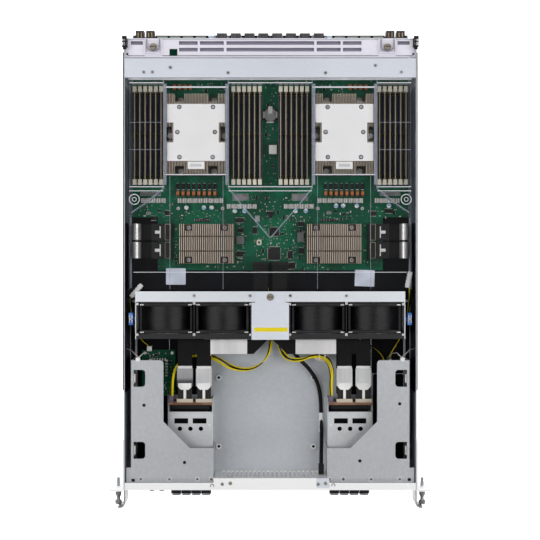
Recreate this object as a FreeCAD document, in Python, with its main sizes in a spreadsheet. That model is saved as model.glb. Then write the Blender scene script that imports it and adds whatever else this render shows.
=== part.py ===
import FreeCAD, Part
import Sketcher
import math
import os
import re

# Slide-in system tray of a rack server for graphics accelerators, open top, +Y towards its rear.
# The origin is the middle of the floor's underside. All sizes are in millimetres.

V = FreeCAD.Vector
doc = FreeCAD.newDocument("server_tray")
sheet = doc.addObject("Spreadsheet::Sheet", "Sizes")
nodes = {}

sizes = {
    # Tray
    "tray_width": 440, "tray_height": 87, "bay_length": 227, "sheet_gauge": 1.2,
    "floor_lip": 10, "lip_inset": 12, "rail_proud": 2, "rail_length": 44, "rail_height": 18,
    "rail_lift": 34, "rear_rail_back": 78, "mid_rail_back": 262,
    # Running fit of a pin, seat clearance, and how far a cut runs past the face it pierces
    "running_gap": 0.06, "seat_gap": 0.3, "cut_margin": 1,
    # Four threaded bosses in the floor of the empty centre bay
    "boss_spacing_x": 147.5, "boss_spacing_y": 107.3, "boss_shift_x": -6.5, "boss_ahead": 108.75,
    "boss_radius": 4.5, "boss_height": 3, "boss_hole": 2.1,
    # Front panel
    "recess_half": 84, "recess_depth": 18, "flange_depth": 11, "vent_slots": 22, "vent_pitch": 6.8,
    "vent_width": 3.2, "vent_low": 14, "vent_high": 74,
    "port_x": 122, "port_width": 62, "port_height": 12, "port_low": 15.6, "port_fit": 0.3,
    "usb_x": 183, "usb_pitch": 15, "usb_width": 9, "usb_height": 3.4, "usb_low": 20, "usb_depth": 12,
    "usb_wall": 1,
    # Rack ears, pull handles and their captive thumbscrews
    "ear_half": 241.3, "ear_thick": 2, "ear_leg": 75, "ear_screw_x": 232.55,
    "handle_x": 222, "handle_gauge": 2, "handle_reach": 20, "handle_bend": 6, "handle_tip": 3,
    "handle_height": 50, "thumb_thread": 2.4, "thumb_waist": 1.9, "thumb_relief": 1,
    "thumb_sleeve": 4.3, "thumb_neck": 2.7,
    "thumb_flare": 4.7, "thumb_sleeve_length": 12, "thumb_taper": 2, "thumb_neck_length": 6,
    "thumb_flare_length": 8, "thumb_tail": 12,
    # Cross bar and louvred rear deck
    "bar_depth": 29, "bar_back": 31, "bar_flange": 9, "screw_head": 0.8, "screw_head_radius": 2.6,
    "deck_top": 79.2, "deck_depth": 29, "deck_skirt": 14, "louvre_depth": 5.6, "louvre_first": 4.4,
    "louvre_step": 10, "louvre_a": 66, "louvre_b": 70, "louvre_c": 106, "louvre_d": 109.5,
    "louvre_e": 137.5, "louvre_f": 192, "louvre_g": 210, "window_a": 140, "window_b": 152,
    "window_length": 10, "window_ahead": 3, "post_x": 176.2, "post_back": 13.5, "rib_half": 13,
    "rib_length": 22, "rib_height": 5, "knob_radius": 5.2, "knob_length": 6.4, "knob_chamfer": 1,
    "post_shank": 2, "post_tail": 9,
    # Main board and its standoffs
    "standoff_height": 8, "standoff_radius": 3.2, "standoff_inset": 6, "standoff_mid": 62,
    "standoff_edge": 16, "standoff_front": 10, "card_post_x": 26, "card_post_back": 70,
    "board_thick": 2.4, "board_half": 214, "board_front_half": 175, "board_length": 362,
    "board_wide_length": 280, "board_overhang": 12,
    # Processors: sockets, heatsinks and their cover plates
    "cpu_x": 111.85, "cpu_from_rear": 155.5, "socket_width": 72, "socket_length": 100,
    "socket_height": 5, "cpu_lid_width": 58, "cpu_lid_length": 72, "cpu_lid_height": 3,
    "sink_width": 93, "sink_length": 121, "sink_base": 6, "sink_height": 57.2, "fin_gauge": 0.6,
    "fin_pitch": 2.3, "fin_count": 40, "end_notch_x": 25.6, "end_notch_width": 13.5,
    "end_notch_depth": 12, "side_notch_width": 10, "side_notch_length": 22,
    "plate_width": 87.4, "plate_length": 86, "plate_waist": 68.6, "plate_waist_length": 30,
    "plate_shift": 1.7, "plate_gauge": 1.2, "spring_screw_radius": 4.2, "spring_screw_height": 11,
    # Memory modules, their sockets and the latches at both ends
    "bank_inner_x": 36.2, "bank_outer_x": 187.5, "slot_pitch": 8.13, "slots_per_bank": 6,
    "module_length": 133.35, "module_height": 31.25, "module_board": 1.3, "module_chips": 3.4,
    "chip_row_length": 58, "chip_row_gap": 6, "chip_row_height": 20, "chip_row_lift": 7,
    "module_seat": 3, "slot_body_width": 6.4, "slot_body_length": 130, "slot_body_height": 8,
    "slot_foot_length": 150, "slot_groove": 1.7, "clip_width": 5.6, "clip_pivot_out": 70.4,
    "clip_foot": 3.2, "clip_gap": 0.35, "clip_top": 33, "clip_thick": 4.6, "clip_tab": 4,
    # Switch chips and their heatsinks
    "switch_x": 98, "switch_from_front": 40.8, "switch_chip": 45, "switch_chip_height": 3.2,
    "switch_width": 84.7, "switch_length": 60.4, "switch_base": 5, "switch_height": 32,
    "switch_fin": 0.9, "switch_pitch": 2.9, "switch_fins": 29, "groove_y": 11.3, "groove_width": 2.2,
    "groove_depth": 12, "switch_screw_x": 27.7, "switch_screw_y": 24.9, "switch_pocket": 10,
    "switch_screw_radius": 3, "switch_screw_height": 9,
    # Rows of parts on the board, measured forward from its rear edge
    "coil_width": 6, "coil_length": 7.2, "coil_height": 6.4, "coil_pitch": 8.1,
    "coil_cpu_x": 76, "coil_cpu_count": 9, "coil_cpu_back": 254, "coil_inner_x": 24,
    "coil_inner_count": 6, "coil_inner_back": 263, "coil_outer_x": 165, "coil_outer_count": 5,
    "coil_outer_back": 254, "orange_width": 4.4, "orange_length": 8, "orange_height": 7,
    "orange_pitch": 8.2, "orange_x": 86, "orange_count": 8, "orange_back": 243,
    "orange_rear_x": 124, "orange_rear_count": 4, "orange_rear_back": 78,
    "can_radius": 3.4, "can_height": 7, "chip_height": 2, "cell_radius": 10, "cell_height": 3.2,
    "cell_back": 121, "cell_holder": 2.4, "cell_holder_width": 23, "cell_holder_length": 17,
    "header_x": 4, "header_back": 175, "header_height": 8, "header_width": 12, "header_length": 14,
    # Fan cage and fans
    "cage_gap": 31.5, "cage_rear_flange": 15.5, "cage_front_flange": 6.6, "cage_half": 203.2,
    "cage_rise": 0.4, "channel_half": 30.4, "channel_window": 76, "channel_front_low": 12,
    "fan_size": 80, "fan_depth": 45.8, "fan_gap": 0.6, "fan_first": 72.2, "fan_pitch": 84.8,
    "fan_plate": 5, "fan_corner": 3, "fan_barrel": 39.6, "fan_bore": 38.2, "fan_bolt": 35.75,
    "fan_bolt_hole": 2.2, "strut_width": 3.4, "strut_bite": 0.5, "stator_radius": 17,
    "stator_depth": 6, "core_radius": 13, "core_length": 22, "shaft_radius": 2, "shaft_short": 1,
    "rotor_hub": 18, "rotor_nose": 2, "rotor_depth": 30, "rotor_tip": 37.2, "rotor_gap": 0.5,
    "rotor_wall": 2.4, "blade_count": 7, "blade_gauge": 1.6, "blade_root_half": 10,
    "blade_tip_half": 11, "blade_root_rise": 11, "blade_tip_rise": 7, "blade_overrun": 2,
    # Cover of the cage's cable channel, and the spring latches at the cage's ends
    "cover_half": 28.2, "cover_bracket_half": 23, "cover_lip": 5, "cover_knob": 5,
    "cover_knob_length": 3, "cover_shank": 1.8, "cover_tail": 6, "cover_screw_ahead": 8.5,
    "latch_block": 6, "latch_travel_gap": 4, "latch_length": 18, "latch_height": 22,
    "latch_drop": 2, "latch_behind": 26, "latch_pin": 2, "latch_dish": 2,
    # Clear air shroud over the board
    "shroud_gauge": 1, "shroud_drop": 3.5, "shroud_half": 213, "shroud_front_gap": 2.5,
    "shroud_rear_gap": 1, "duct_inner": 63.1, "duct_outer": 160.5, "duct_length": 162,
    "duct_end_low": 55, "duct_stop_rear": 10.6, "duct_stop_front": 19.8, "bank_stop_rear": 4,
    "bank_stop_front": 1.5, "stop_gap": 1.8, "stop_inner": 8, "vee_low": 52,
    "vee_inner": 41.5, "vee_drop": 27, "vee_point_drop": 75, "wing_x": 187, "wing_drop": 22,
    "wing_end_drop": 37, "shroud_skirt": 14,
    # Input bays behind the front ports: covers, cages, cards, ports and their dust plugs
    "lid_drop": 7, "lid_outer": 209.7, "lid_step_x": 161, "lid_inner": 85.7, "lid_back": 194.7,
    "lid_diagonal": 102.2, "lid_front_back": 62.4, "lid_front": 10.6, "lid_ear_back": 33,
    "lid_ear_gap": 1.8, "lid_corner": 5, "grip_out": 206, "grip_width": 17.6, "grip_length": 25.5,
    "grip_corner": 5, "grip_rear": 167.5, "grip_front": 59, "bay_outer": 156, "bay_inner": 87.5,
    "bay_top": 50, "bay_roof_back": 114, "bay_roof_front": 59, "bay_wall_back": 134,
    "bay_window_y": 100, "bay_window_length": 8, "bay_window_width": 21, "bay_window_x": 14,
    "bay_hole": 3.4, "bay_hole_y": 88, "bay_hole_pitch": 16, "riser_back": 129, "riser_thick": 3.5,
    "riser_low": 6, "riser_top": 60, "card_inset": 3, "card_thick": 1.6, "card_front_gap": 2,
    "link_height": 30, "link_low": 12, "link_depth": 8, "link_inset": 4,
    "port_length": 56, "port_proud": 6, "port_wall": 0.8, "port_count": 4, "port_web": 1.4,
    "dust_fit": 0.3, "dust_depth": 8, "dust_proud": 8, "dust_rim": 0.6,
    # Cables between the bays and the board
    "plug_shift_a": -8.5, "plug_shift_b": 20.5, "plug_width": 24, "plug_length": 27,
    "plug_height": 9, "plug_low": 45, "nose_length": 19, "nose_inset": 1.5, "receptacle_depth": 5,
    "receptacle_rim": 2, "receptacle_side": 0.2, "tab_gauge": 0.8, "tab_head": 20,
    "tab_head_length": 10, "tab_lap": 5, "tab_slope": 4, "tab_stem": 4, "ribbon_width": 22,
    "ribbon_gauge": 1.2, "ribbon_step": 3, "ribbon_ahead": 2.5, "ribbon_centre": 14.5,
    "ribbon_drop": 4, "ribbon_drop_step": 4, "ribbon_socket_back": 1, "ribbon_socket_depth": 12,
    "ribbon_socket_height": 12, "ribbon_socket_wall": 1.5,
    "lead_radius": 2.6, "lead_shift": -29, "lead_plug": 6, "lead_plug_length": 10,
    "lead_plug_low": 44, "lead_plug_height": 12, "cable_radius": 3, "cable_plug_x": 78,
    "cable_plug_width": 8, "cable_plug_length": 16, "cable_plug_low": 39, "cable_plug_height": 10,
    # Cables along both sides of the board
    "side_plug_x": 152, "side_plug_a": 59, "side_plug_b": 31, "side_width": 26,
    "side_socket_depth": 10, "side_socket_height": 9, "side_plug_length": 22, "side_ribbon": 2,
    "side_ribbon_inset": 1, "side_reach": 206,
    # Blind-mate connectors on the rear edge
    "signal_count": 8, "signal_pitch": 21.4, "signal_width": 15.6, "signal_height": 15,
    "signal_depth": 34, "signal_out": 4,
    "guide_x": 91.4, "guide_width": 6.6, "guide_depth": 30, "guide_top": 22, "guide_out": 0.5,
    "guide_nose": 7, "power_x_a": 185, "power_x_b": 201, "power_width": 12.6, "power_depth": 34,
    "power_height": 20, "power_out": 7, "power_slot": 2.4, "power_slot_x": 2.5,
    "power_slot_inset": 3, "power_slot_depth": 9,
    # Insulating film on the floor
    "film_gauge": 0.5, "film_half": 216, "film_length": 110, "film_gap": 1,
    # Screw heads: distance in from the edge of the sheet that they hold
    "lid_screw_in": 5, "lid_screw_a": 195, "lid_screw_b": 152, "lid_screw_c": 110, "lid_screw_d": 89,
    "cage_screw_in": 9, "flange_screw_in": 9, "flange_screw_x": 72,
    "board_screw_a": 143, "board_screw_b": 74, "board_screw_back": 266,
}

# Places chosen one by one, as distance from the middle and distance in from an edge.
can_spots = ((-130, 265), (-103, 265), (-91, 265), (-55, 270), (-40, 270), (39, 270), (55, 270),
             (102, 262), (113, 262), (134, 262), (184, 262))
bar_screw_spots = ((-190, 8), (-177, 8), (-150, 15), (-63.5, 7), (83, 7), (158, 18), (197, 8))
# Controllers between the switch heatsinks: middle, distance from the front edge, width and length.
chip_spots = ((6, 26, 19, 20), (6, 60, 15, 13), (31, 24, 8, 12), (33, 7, 12, 10))

derived = {
    "cage_depth": "cage_rear_flange + 2*sheet_gauge + 2*fan_gap + fan_depth + cage_front_flange",
    "tray_length": "board_length - board_overhang + cage_gap + cage_depth + bay_length",
    "wall_in": "tray_width/2 - sheet_gauge",
    "front_y": "-tray_length/2",
    "rear_y": "tray_length/2",
    "board_under": "sheet_gauge + standoff_height",
    "board_top": "board_under + board_thick",
    "board_rear": "rear_y + board_overhang",
    "board_front": "board_rear - board_length",
    "bar_top": "tray_height - screw_head",
    "bar_rear": "rear_y - bar_back",
    "bar_front": "bar_rear - bar_depth",
    "cpu_y": "board_rear - cpu_from_rear",
    "sink_low": "board_top + socket_height + cpu_lid_height",
    "sink_fins": "sink_low + sink_base",
    "sink_top": "sink_low + sink_height",
    "module_low": "board_top + module_seat",
    "slot_top": "board_top + slot_body_height",
    "clip_pivot_z": "module_low + clip_gap + clip_foot",
    "switch_y": "board_front + switch_from_front",
    "switch_low": "board_top + switch_chip_height",
    "fan_wall_x": "fan_first + fan_pitch/2",
    "cage_rear_y": "board_front - cage_gap",
    "cage_wall_y": "cage_rear_y - cage_rear_flange",
    "fan_rear_y": "cage_wall_y - sheet_gauge - fan_gap",
    "fan_front_y": "fan_rear_y - fan_depth",
    "cage_front_y": "fan_front_y - fan_gap - sheet_gauge",
    "cage_tip_y": "cage_front_y - cage_front_flange",
    "fan_low": "2*sheet_gauge",
    "fan_z": "fan_low + fan_size/2",
    "cage_top_z": "fan_low + fan_size + cage_rise",
    "cage_end": "cage_half - sheet_gauge",
    "cover_screw_y": "cage_rear_y - cover_screw_ahead",
    "latch_side": "cage_half + latch_travel_gap",
    "latch_y": "cage_wall_y - latch_behind",
    "latch_z": "cage_top_z - latch_drop",
    "shroud_top": "tray_height - shroud_drop",
    "shroud_under": "shroud_top - shroud_gauge",
    "shroud_front": "cage_rear_y + shroud_front_gap",
    "shroud_rear": "bar_front - shroud_rear_gap",
    "duct_rear": "shroud_rear - 3*shroud_gauge",
    "duct_front": "duct_rear - duct_length",
    "lid_top": "tray_height - lid_drop",
    "lid_under": "lid_top - sheet_gauge",
    "bay_x": "(bay_inner + bay_outer)/2",
    "riser_rear_y": "front_y + riser_back",
    "riser_front_y": "riser_rear_y - riser_thick",
    "card_low": "port_low - card_thick",
    "port_face": "front_y - port_proud",
    "port_pitch": "(port_width - port_wall)/port_count",
    "port_opening": "port_pitch - port_web",
    "plug_front": "riser_rear_y + receptacle_depth + nose_length",
    "plug_rear": "plug_front + plug_length",
    "plug_top": "plug_low + plug_height",
    "ribbon_low": "plug_low + plug_height/2",
    "ribbon_row_rear": "cage_tip_y - ribbon_ahead",
    "ribbon_row_front": "ribbon_row_rear - ribbon_width",
    "ribbon_socket_y": "board_front + ribbon_socket_back",
    "ribbon_socket_top": "board_top + ribbon_socket_height",
    "thumb_face": "front_y - ear_thick",
}

for row, (alias, number) in enumerate(sizes.items(), start=1):
    sheet.set(f"A{row}", alias)
    sheet.set(f"B{row}", str(number))
    sheet.setAlias(f"B{row}", alias)
doc.recompute()


def formula(text):
    def swap(match):
        word = match.group(0)
        if word in derived:
            return "(" + formula(derived[word]) + ")"
        return "Sizes." + word if word in sizes else word
    return re.sub(r"\b[a-z]\w*\b", swap, str(text))


def value(text):
    return float(sheet.evalExpression(formula(text)))


def bind(thing, path, text):
    thing.setExpression(path, formula(text))


def node(name, thing):
    thing.Label = name
    nodes[name] = thing
    return thing


def block(name, x, y, z):
    box = doc.addObject("Part::Box", name)
    for side, axis, (low, high) in zip(("Length", "Width", "Height"), "xyz", (x, y, z)):
        bind(box, side, f"({high}) - ({low})")
        bind(box, f"Placement.Base.{axis}", low)
    return box


def around(middle, size):
    return f"{middle} - ({size})/2", f"{middle} + ({size})/2"


def through(low, high):
    # A span that runs past both faces of what it pierces.
    return f"{low} - cut_margin", f"{high} + cut_margin"


def signed(side, near, far):
    # The span from near to far on one side of zero.
    return (near, far) if side > 0 else (f"-({far})", f"-({near})")


def centred(name, x, y, z, width, length):
    return block(name, around(x, width), around(y, length), z)


def rod(name, axis, centre, span, radius):
    turns = {"x": FreeCAD.Rotation(V(0, 1, 0), 90), "y": FreeCAD.Rotation(V(1, 0, 0), -90)}
    can = doc.addObject("Part::Cylinder", name)
    can.Placement = FreeCAD.Placement(V(), turns.get(axis, FreeCAD.Rotation()))
    low, high = span
    base = dict(zip([letter for letter in "xyz" if letter != axis], centre))
    base[axis] = low
    for letter, text in base.items():
        bind(can, f"Placement.Base.{letter}", text)
    bind(can, "Radius", radius)
    bind(can, "Height", f"({high}) - ({low})")
    return can


def fuse(name, parts):
    whole = doc.addObject("Part::MultiFuse", name)
    whole.Shapes = list(parts)
    whole.Refine = True
    return whole


def cut(name, base, tools):
    tools = list(tools)
    result = doc.addObject("Part::Cut", name)
    result.Base = base
    result.Tool = tools[0] if len(tools) == 1 else fuse(name + "_tools", tools)
    return result


def common(name, first, second):
    result = doc.addObject("Part::Common", name)
    result.Base = first
    result.Tool = second
    return result


def group(name, parts):
    whole = doc.addObject("Part::Compound", name)
    whole.Links = list(parts)
    return whole


def mirror(name, source):
    copy = doc.addObject("Part::Mirroring", name)
    copy.Source = source
    copy.Normal = V(1, 0, 0)
    return copy


def pair(name, source):
    return group(name, [source, mirror(name + "_left", source)])


def origin(body, role):
    return next(item for item in body.Origin.OriginFeatures if item.Role == role)


def outline(body, name, plane, offset, points):
    sketch = body.newObject("Sketcher::SketchObject", name)
    sketch.AttachmentSupport = [(origin(body, plane + "_Plane"), "")]
    sketch.MapMode = "FlatFace"
    bind(sketch, "AttachmentOffset.Base.z", offset)
    corners = [V(value(first), value(second), 0) for first, second in points]
    count = len(corners)
    for index in range(count):
        sketch.addGeometry(Part.LineSegment(corners[index], corners[(index + 1) % count]), False)
    for index in range(count):
        sketch.addConstraint(Sketcher.Constraint("Coincident", index, 2, (index + 1) % count, 1))
    for index, texts in enumerate(points):
        for kind, text, at in zip(("DistanceX", "DistanceY"), texts, corners[index]):
            number = sketch.addConstraint(Sketcher.Constraint(kind, -1, 1, index, 1, at))
            sketch.setExpression(f"Constraints[{number}]", formula(text))
    return sketch


def pad(body, name, plane, points, span):
    low, high = span
    # The XZ plane faces -Y, so its sketch lies at the far end of the span.
    start = f"-({high})" if plane == "XZ" else low
    feature = body.newObject("PartDesign::Pad", name)
    feature.Profile = outline(body, name + "_outline", plane, start, points)
    bind(feature, "Length", f"({high}) - ({low})")
    return feature


def prism(name, plane, points, span):
    body = doc.addObject("PartDesign::Body", name)
    pad(body, name + "_pad", plane, points, span)
    return body


def turned(name, points):
    body = doc.addObject("PartDesign::Body", name)
    sketch = outline(body, name + "_profile", "XZ", "0", points)
    spin = body.newObject("PartDesign::Revolution", name + "_turn")
    spin.Profile = sketch
    spin.ReferenceAxis = (sketch, ["V_Axis"])
    spin.Angle = 360
    return body


def rectangle(x, y):
    return [(x[0], y[0]), (x[1], y[0]), (x[1], y[1]), (x[0], y[1])]


def place(thing, x, y, z, turn=None):
    thing.Placement = FreeCAD.Placement(V(), turn or FreeCAD.Rotation())
    for letter, text in zip("xyz", (x, y, z)):
        bind(thing, f"Placement.Base.{letter}", text)
    return thing


def soften(body, name, radius, chosen):
    doc.recompute()
    tip = body.Tip
    edges = [f"Edge{index}" for index, edge in enumerate(tip.Shape.Edges, start=1) if chosen(edge)]
    feature = body.newObject("PartDesign::Fillet", name)
    feature.Base = (tip, edges)
    bind(feature, "Radius", radius)
    return feature


def upright_at(x, y):
    # True for a vertical edge that stands at this point of the plan.
    def test(edge):
        ends = [corner.Point for corner in edge.Vertexes]
        return len(ends) == 2 and all(abs(p.x - x) + abs(p.y - y) < 0.01 for p in ends)
    return test


def tube(name, radius, points):
    # Straight runs joined by arcs as large as the shorter of the two runs allows.
    points = [V(*point) for point in points]
    edges, start = [], points[0]
    for before, corner, after in zip(points, points[1:], points[2:]):
        back, ahead = before - corner, after - corner
        turn = math.pi - back.getAngle(ahead)
        set_back = 0.45 * min(back.Length, ahead.Length)
        bend = set_back / math.tan(turn / 2)
        print(f"{name} bend radius {bend:.1f}")
        enter = corner + back.normalize() * set_back
        leave = corner + ahead.normalize() * set_back
        middle = (enter + leave) * 0.5 - corner
        inset = math.hypot(bend, set_back) - bend
        edges.append(Part.LineSegment(start, enter).toShape())
        edges.append(Part.Arc(enter, corner + middle.normalize() * inset, leave).toShape())
        start = leave
    edges.append(Part.LineSegment(start, points[-1]).toShape())
    path = Part.Wire(edges)
    ring = Part.Wire([Part.Circle(points[0], points[1] - points[0], value(radius)).toShape()])
    cord = doc.addObject("Part::Feature", name)
    cord.Shape = path.makePipeShell([ring], True, False)
    expected = math.pi * value(radius) ** 2 * path.Length
    print(f"{name} volume {cord.Shape.Volume / expected:.3f} of section times length")
    return cord


def base_pan():
    wide = "tray_width/2"
    profile = [(f"-{wide}", "0"), (wide, "0"), (wide, "tray_height"), ("wall_in", "tray_height"),
               ("wall_in", "sheet_gauge"), ("-wall_in", "sheet_gauge"), ("-wall_in", "tray_height"),
               (f"-{wide}", "tray_height")]
    shell = prism("pan_shell", "XZ", profile, ("front_y", "rear_y"))
    lip = block("pan_lip", ("lip_inset - wall_in", "wall_in - lip_inset"),
                ("rear_y", "rear_y + floor_lip"), ("0", "sheet_gauge"))
    pieces, holes = [shell, lip], []
    for spot in ("rear", "mid"):
        middle = f"rear_y - {spot}_rail_back"
        rail = block(f"{spot}_rail", (wide, f"{wide} + rail_proud"), around(middle, "rail_length"),
                     ("rail_lift", "rail_lift + rail_height"))
        pieces += [rail, mirror(f"{spot}_rail_left", rail)]
    top = "sheet_gauge + boss_height"
    for index, (across, along) in enumerate(((-1, -1), (1, -1), (-1, 1), (1, 1))):
        spot = (f"boss_shift_x + {across}*boss_spacing_x/2",
                f"front_y + boss_ahead + {along}*boss_spacing_y/2")
        pieces.append(rod(f"boss_{index}", "z", spot, ("sheet_gauge", top), "boss_radius"))
        holes.append(rod(f"boss_hole_{index}", "z", spot, through("0", top), "boss_hole"))
    node("base_pan", cut("pan_drilled", fuse("pan_pieces", pieces), holes))


def front_panel():
    inner, step = "front_y + sheet_gauge", "recess_half + sheet_gauge"
    back, front = "front_y + recess_depth", "front_y + recess_depth - sheet_gauge"
    half = [("recess_half", front), ("recess_half", "front_y"), ("wall_in", "front_y"),
            ("wall_in", inner), (step, inner), (step, back)]
    plan = [(f"-({x})", y) for x, y in reversed(half)] + half
    plan = plan[1:] + plan[:1]
    folded = prism("panel_sheet", "XY", plan, ("sheet_gauge", "bar_top - sheet_gauge"))
    top = ("bar_top - sheet_gauge", "bar_top")
    flange = block("panel_flange", ("-wall_in", "wall_in"), ("front_y", "front_y + flange_depth"), top)
    hood = block("panel_hood", (f"-({step})", step), ("front_y", back), top)
    pierce = "2*(sheet_gauge + cut_margin)"
    tools = []
    for index in range(int(value("vent_slots"))):
        x = f"({index} - (vent_slots - 1)/2)*vent_pitch"
        tools.append(centred(f"vent_{index}", x, back, ("vent_low", "vent_high"), "vent_width", pierce))
    for side in (-1, 1):
        tools.append(centred(f"port_window_{side}", f"{side}*port_x", "front_y",
                             ("port_low - port_fit", "port_low + port_height + port_fit"),
                             "port_width + 2*port_fit", pierce))
    for index in range(2):
        tools.append(centred(f"usb_window_{index}", f"{index}*usb_pitch - usb_x", "front_y",
                             ("usb_low", "usb_low + usb_height"), "usb_width", pierce))
    node("front_panel", cut("panel_pierced", fuse("panel_pieces", [folded, flange, hood]), tools))


def rack_ears():
    wide = "tray_width/2"
    plan = [(wide, "thumb_face"), ("ear_half", "thumb_face"), ("ear_half", "front_y"),
            (f"{wide} + ear_thick", "front_y"), (f"{wide} + ear_thick", "front_y + ear_leg"),
            (wide, "front_y + ear_leg")]
    angle = prism("ear_angle", "XY", plan, ("0", "tray_height"))
    hole = rod("ear_hole", "y", ("ear_screw_x", "tray_height/2"), through("thumb_face", "front_y"),
               "thumb_waist + running_gap")
    node("rack_ears", pair("ear_pair", cut("ear_drilled", angle, [hole])))


def pull_handles():
    z = ("(tray_height - handle_height)/2", "(tray_height + handle_height)/2")
    low, high = "handle_x - handle_gauge", "handle_x"
    tip = "thumb_face - handle_reach"
    leg = block("handle_leg", (low, high), (tip, "thumb_face"), z)
    pivot = ("handle_x + handle_bend", tip)
    ring = cut("handle_ring", rod("handle_outer", "z", pivot, z, "handle_bend + handle_gauge"),
               [rod("handle_inner", "z", pivot, z, "handle_bend")])
    quarter = block("handle_quarter", (low, "handle_x + handle_bend"),
                    (f"{tip} - handle_bend - handle_gauge", tip), z)
    end = block("handle_end", ("handle_x + handle_bend", "handle_x + handle_bend + handle_tip"),
                (f"{tip} - handle_bend - handle_gauge", f"{tip} - handle_bend"), z)
    handle = fuse("handle_bent", [leg, common("handle_curl", ring, quarter), end])
    node("pull_handles", pair("handle_pair", handle))


def ear_thumbscrews():
    # The waist turns in the ear, and the thicker thread behind it keeps the screw captive.
    waist = "-ear_thick - thumb_relief"
    tail = f"{waist} - thumb_tail"
    neck = "thumb_sleeve_length + thumb_neck_length"
    end = f"{neck} + thumb_flare_length"
    profile = [("0", tail), ("thumb_thread", tail), ("thumb_thread", waist), ("thumb_waist", waist),
               ("thumb_waist", "0"), ("thumb_sleeve", "0"), ("thumb_sleeve", "thumb_sleeve_length"),
               ("thumb_neck", "thumb_sleeve_length + thumb_taper"), ("thumb_neck", neck),
               ("thumb_flare", end), ("0", end)]
    forward = FreeCAD.Rotation(V(1, 0, 0), 90)
    for side, sign in (("left", "-"), ("right", "")):
        screw = place(turned(f"{side}_thumb", profile), f"{sign}ear_screw_x", "thumb_face",
                      "tray_height/2", forward)
        node(f"{side}_ear_thumbscrew", screw)


def cross_bar():
    low, under = "bar_top - bar_flange", "bar_top - sheet_gauge"
    profile = [("bar_front", low), ("bar_front + sheet_gauge", low), ("bar_front + sheet_gauge", under),
               ("bar_rear - sheet_gauge", under), ("bar_rear - sheet_gauge", low), ("bar_rear", low),
               ("bar_rear", "bar_top"), ("bar_front", "bar_top")]
    node("cross_bar", prism("bar_channel", "YZ", profile, ("-wall_in", "wall_in")))


def rear_deck():
    low, high = "deck_top - sheet_gauge", "deck_top"
    front, back = "rear_y - deck_depth", "rear_y - sheet_gauge"
    deep = through(low, high)
    plate = block("deck_plate", ("-wall_in", "wall_in"), (front, "rear_y"), (low, high))
    skirt = block("deck_skirt_sheet", ("-wall_in", "wall_in"), (back, "rear_y"),
                  ("deck_top - deck_skirt", low))
    spans = (("louvre_b", "louvre_c"), ("louvre_d", "louvre_e"), ("louvre_f", "louvre_g"))
    tools = []
    for line in range(2):
        far = f"rear_y - louvre_first - {line}*louvre_step"
        y = (f"{far} - louvre_depth", far)
        tools.append(block(f"louvre_{line}", ("-louvre_a", "louvre_a"), y, deep))
        # The front row stops at the thumbscrew, so it has no outermost opening.
        for start, end in spans[:len(spans) - line]:
            hole = block(f"{start}_{line}", (start, end), y, deep)
            tools += [hole, mirror(f"{start}_{line}_left", hole)]
    window = block("deck_window", ("window_a", "window_b"),
                   (f"{front} + window_ahead", f"{front} + window_ahead + window_length"), deep)
    bore = rod("deck_bore", "z", ("post_x", "rear_y - post_back"), deep, "post_shank + running_gap")
    for hole in (window, bore):
        tools += [hole, mirror(f"{hole.Name}_left", hole)]
    outer, inner = "rib_half", "rib_half - sheet_gauge"
    end = f"{back} - rib_length"
    half = [(outer, end), (outer, back), (inner, back), (inner, f"{end} + sheet_gauge")]
    rib_plan = [(f"post_x + {x}", y) for x, y in half]
    rib_plan += [(f"post_x - ({x})", y) for x, y in reversed(half)]
    rib = prism("deck_rib", "XY", rib_plan, (high, "deck_top + rib_height"))
    pierced = cut("deck_pierced", fuse("deck_sheet", [plate, skirt]), tools)
    node("rear_deck", fuse("deck_whole", [pierced, rib, mirror("deck_rib_left", rib)]))


def knob_profile(shank, tail, radius, length):
    return [("0", f"-{tail}"), (shank, f"-{tail}"), (shank, "0"), (radius, "0"),
            (radius, f"{length} - knob_chamfer"), (f"{radius} - knob_chamfer", length), ("0", length)]


def deck_thumbscrews():
    profile = knob_profile("post_shank", "post_tail", "knob_radius", "knob_length")
    for side, sign in (("left", "-"), ("right", "")):
        screw = place(turned(f"{side}_post", profile), f"{sign}post_x", "rear_y - post_back", "deck_top")
        node(f"{side}_deck_thumbscrew", screw)


def motherboard():
    step = "board_rear - board_wide_length"
    half = [("board_front_half", "board_front"), ("board_front_half", step), ("board_half", step),
            ("board_half", "board_rear")]
    plan = half + [(f"-({x})", y) for x, y in reversed(half)]
    node("motherboard", prism("board_sheet", "XY", plan, ("board_under", "board_top")))


def front_standoff_spots():
    y = "board_front + standoff_front"
    return [("board_front_half - 2*standoff_inset", y), ("board_front_half/2", y)]


def board_standoffs():
    backs = ("board_wide_length + standoff_inset", "board_wide_length/2 - standoff_inset", "standoff_edge")
    spots = front_standoff_spots()
    spots += [(x, f"board_rear - ({back})") for x in ("standoff_mid", "standoff_inset") for back in backs]
    spots += [("board_half - standoff_inset", f"board_rear - ({back})")
              for back in ("board_wide_length - standoff_inset", "standoff_edge")]
    posts = [rod(f"standoff_{index}", "z", spot, ("sheet_gauge", "board_under"), "standoff_radius")
             for index, spot in enumerate(spots)]
    for side in (-1, 1):
        spot = (f"port_x + {side}*card_post_x", "front_y + card_post_back")
        posts.append(rod(f"card_post_{side}", "z", spot, ("sheet_gauge", "card_low"), "standoff_radius"))
    node("board_standoffs", pair("standoff_pair", group("standoff_right", posts)))


def insulating_film():
    start = "cage_wall_y + film_gap"
    film = block("film_sheet", ("-film_half", "film_half"), (start, f"{start} + film_length"),
                 ("sheet_gauge", "sheet_gauge + film_gauge"))
    holes = []
    for index, spot in enumerate(front_standoff_spots()):
        hole = rod(f"film_hole_{index}", "z", spot, ("0", "board_under"), "standoff_radius + seat_gap")
        holes += [hole, mirror(f"film_hole_{index}_left", hole)]
    node("insulating_film", cut("film_pierced", film, holes))


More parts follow.
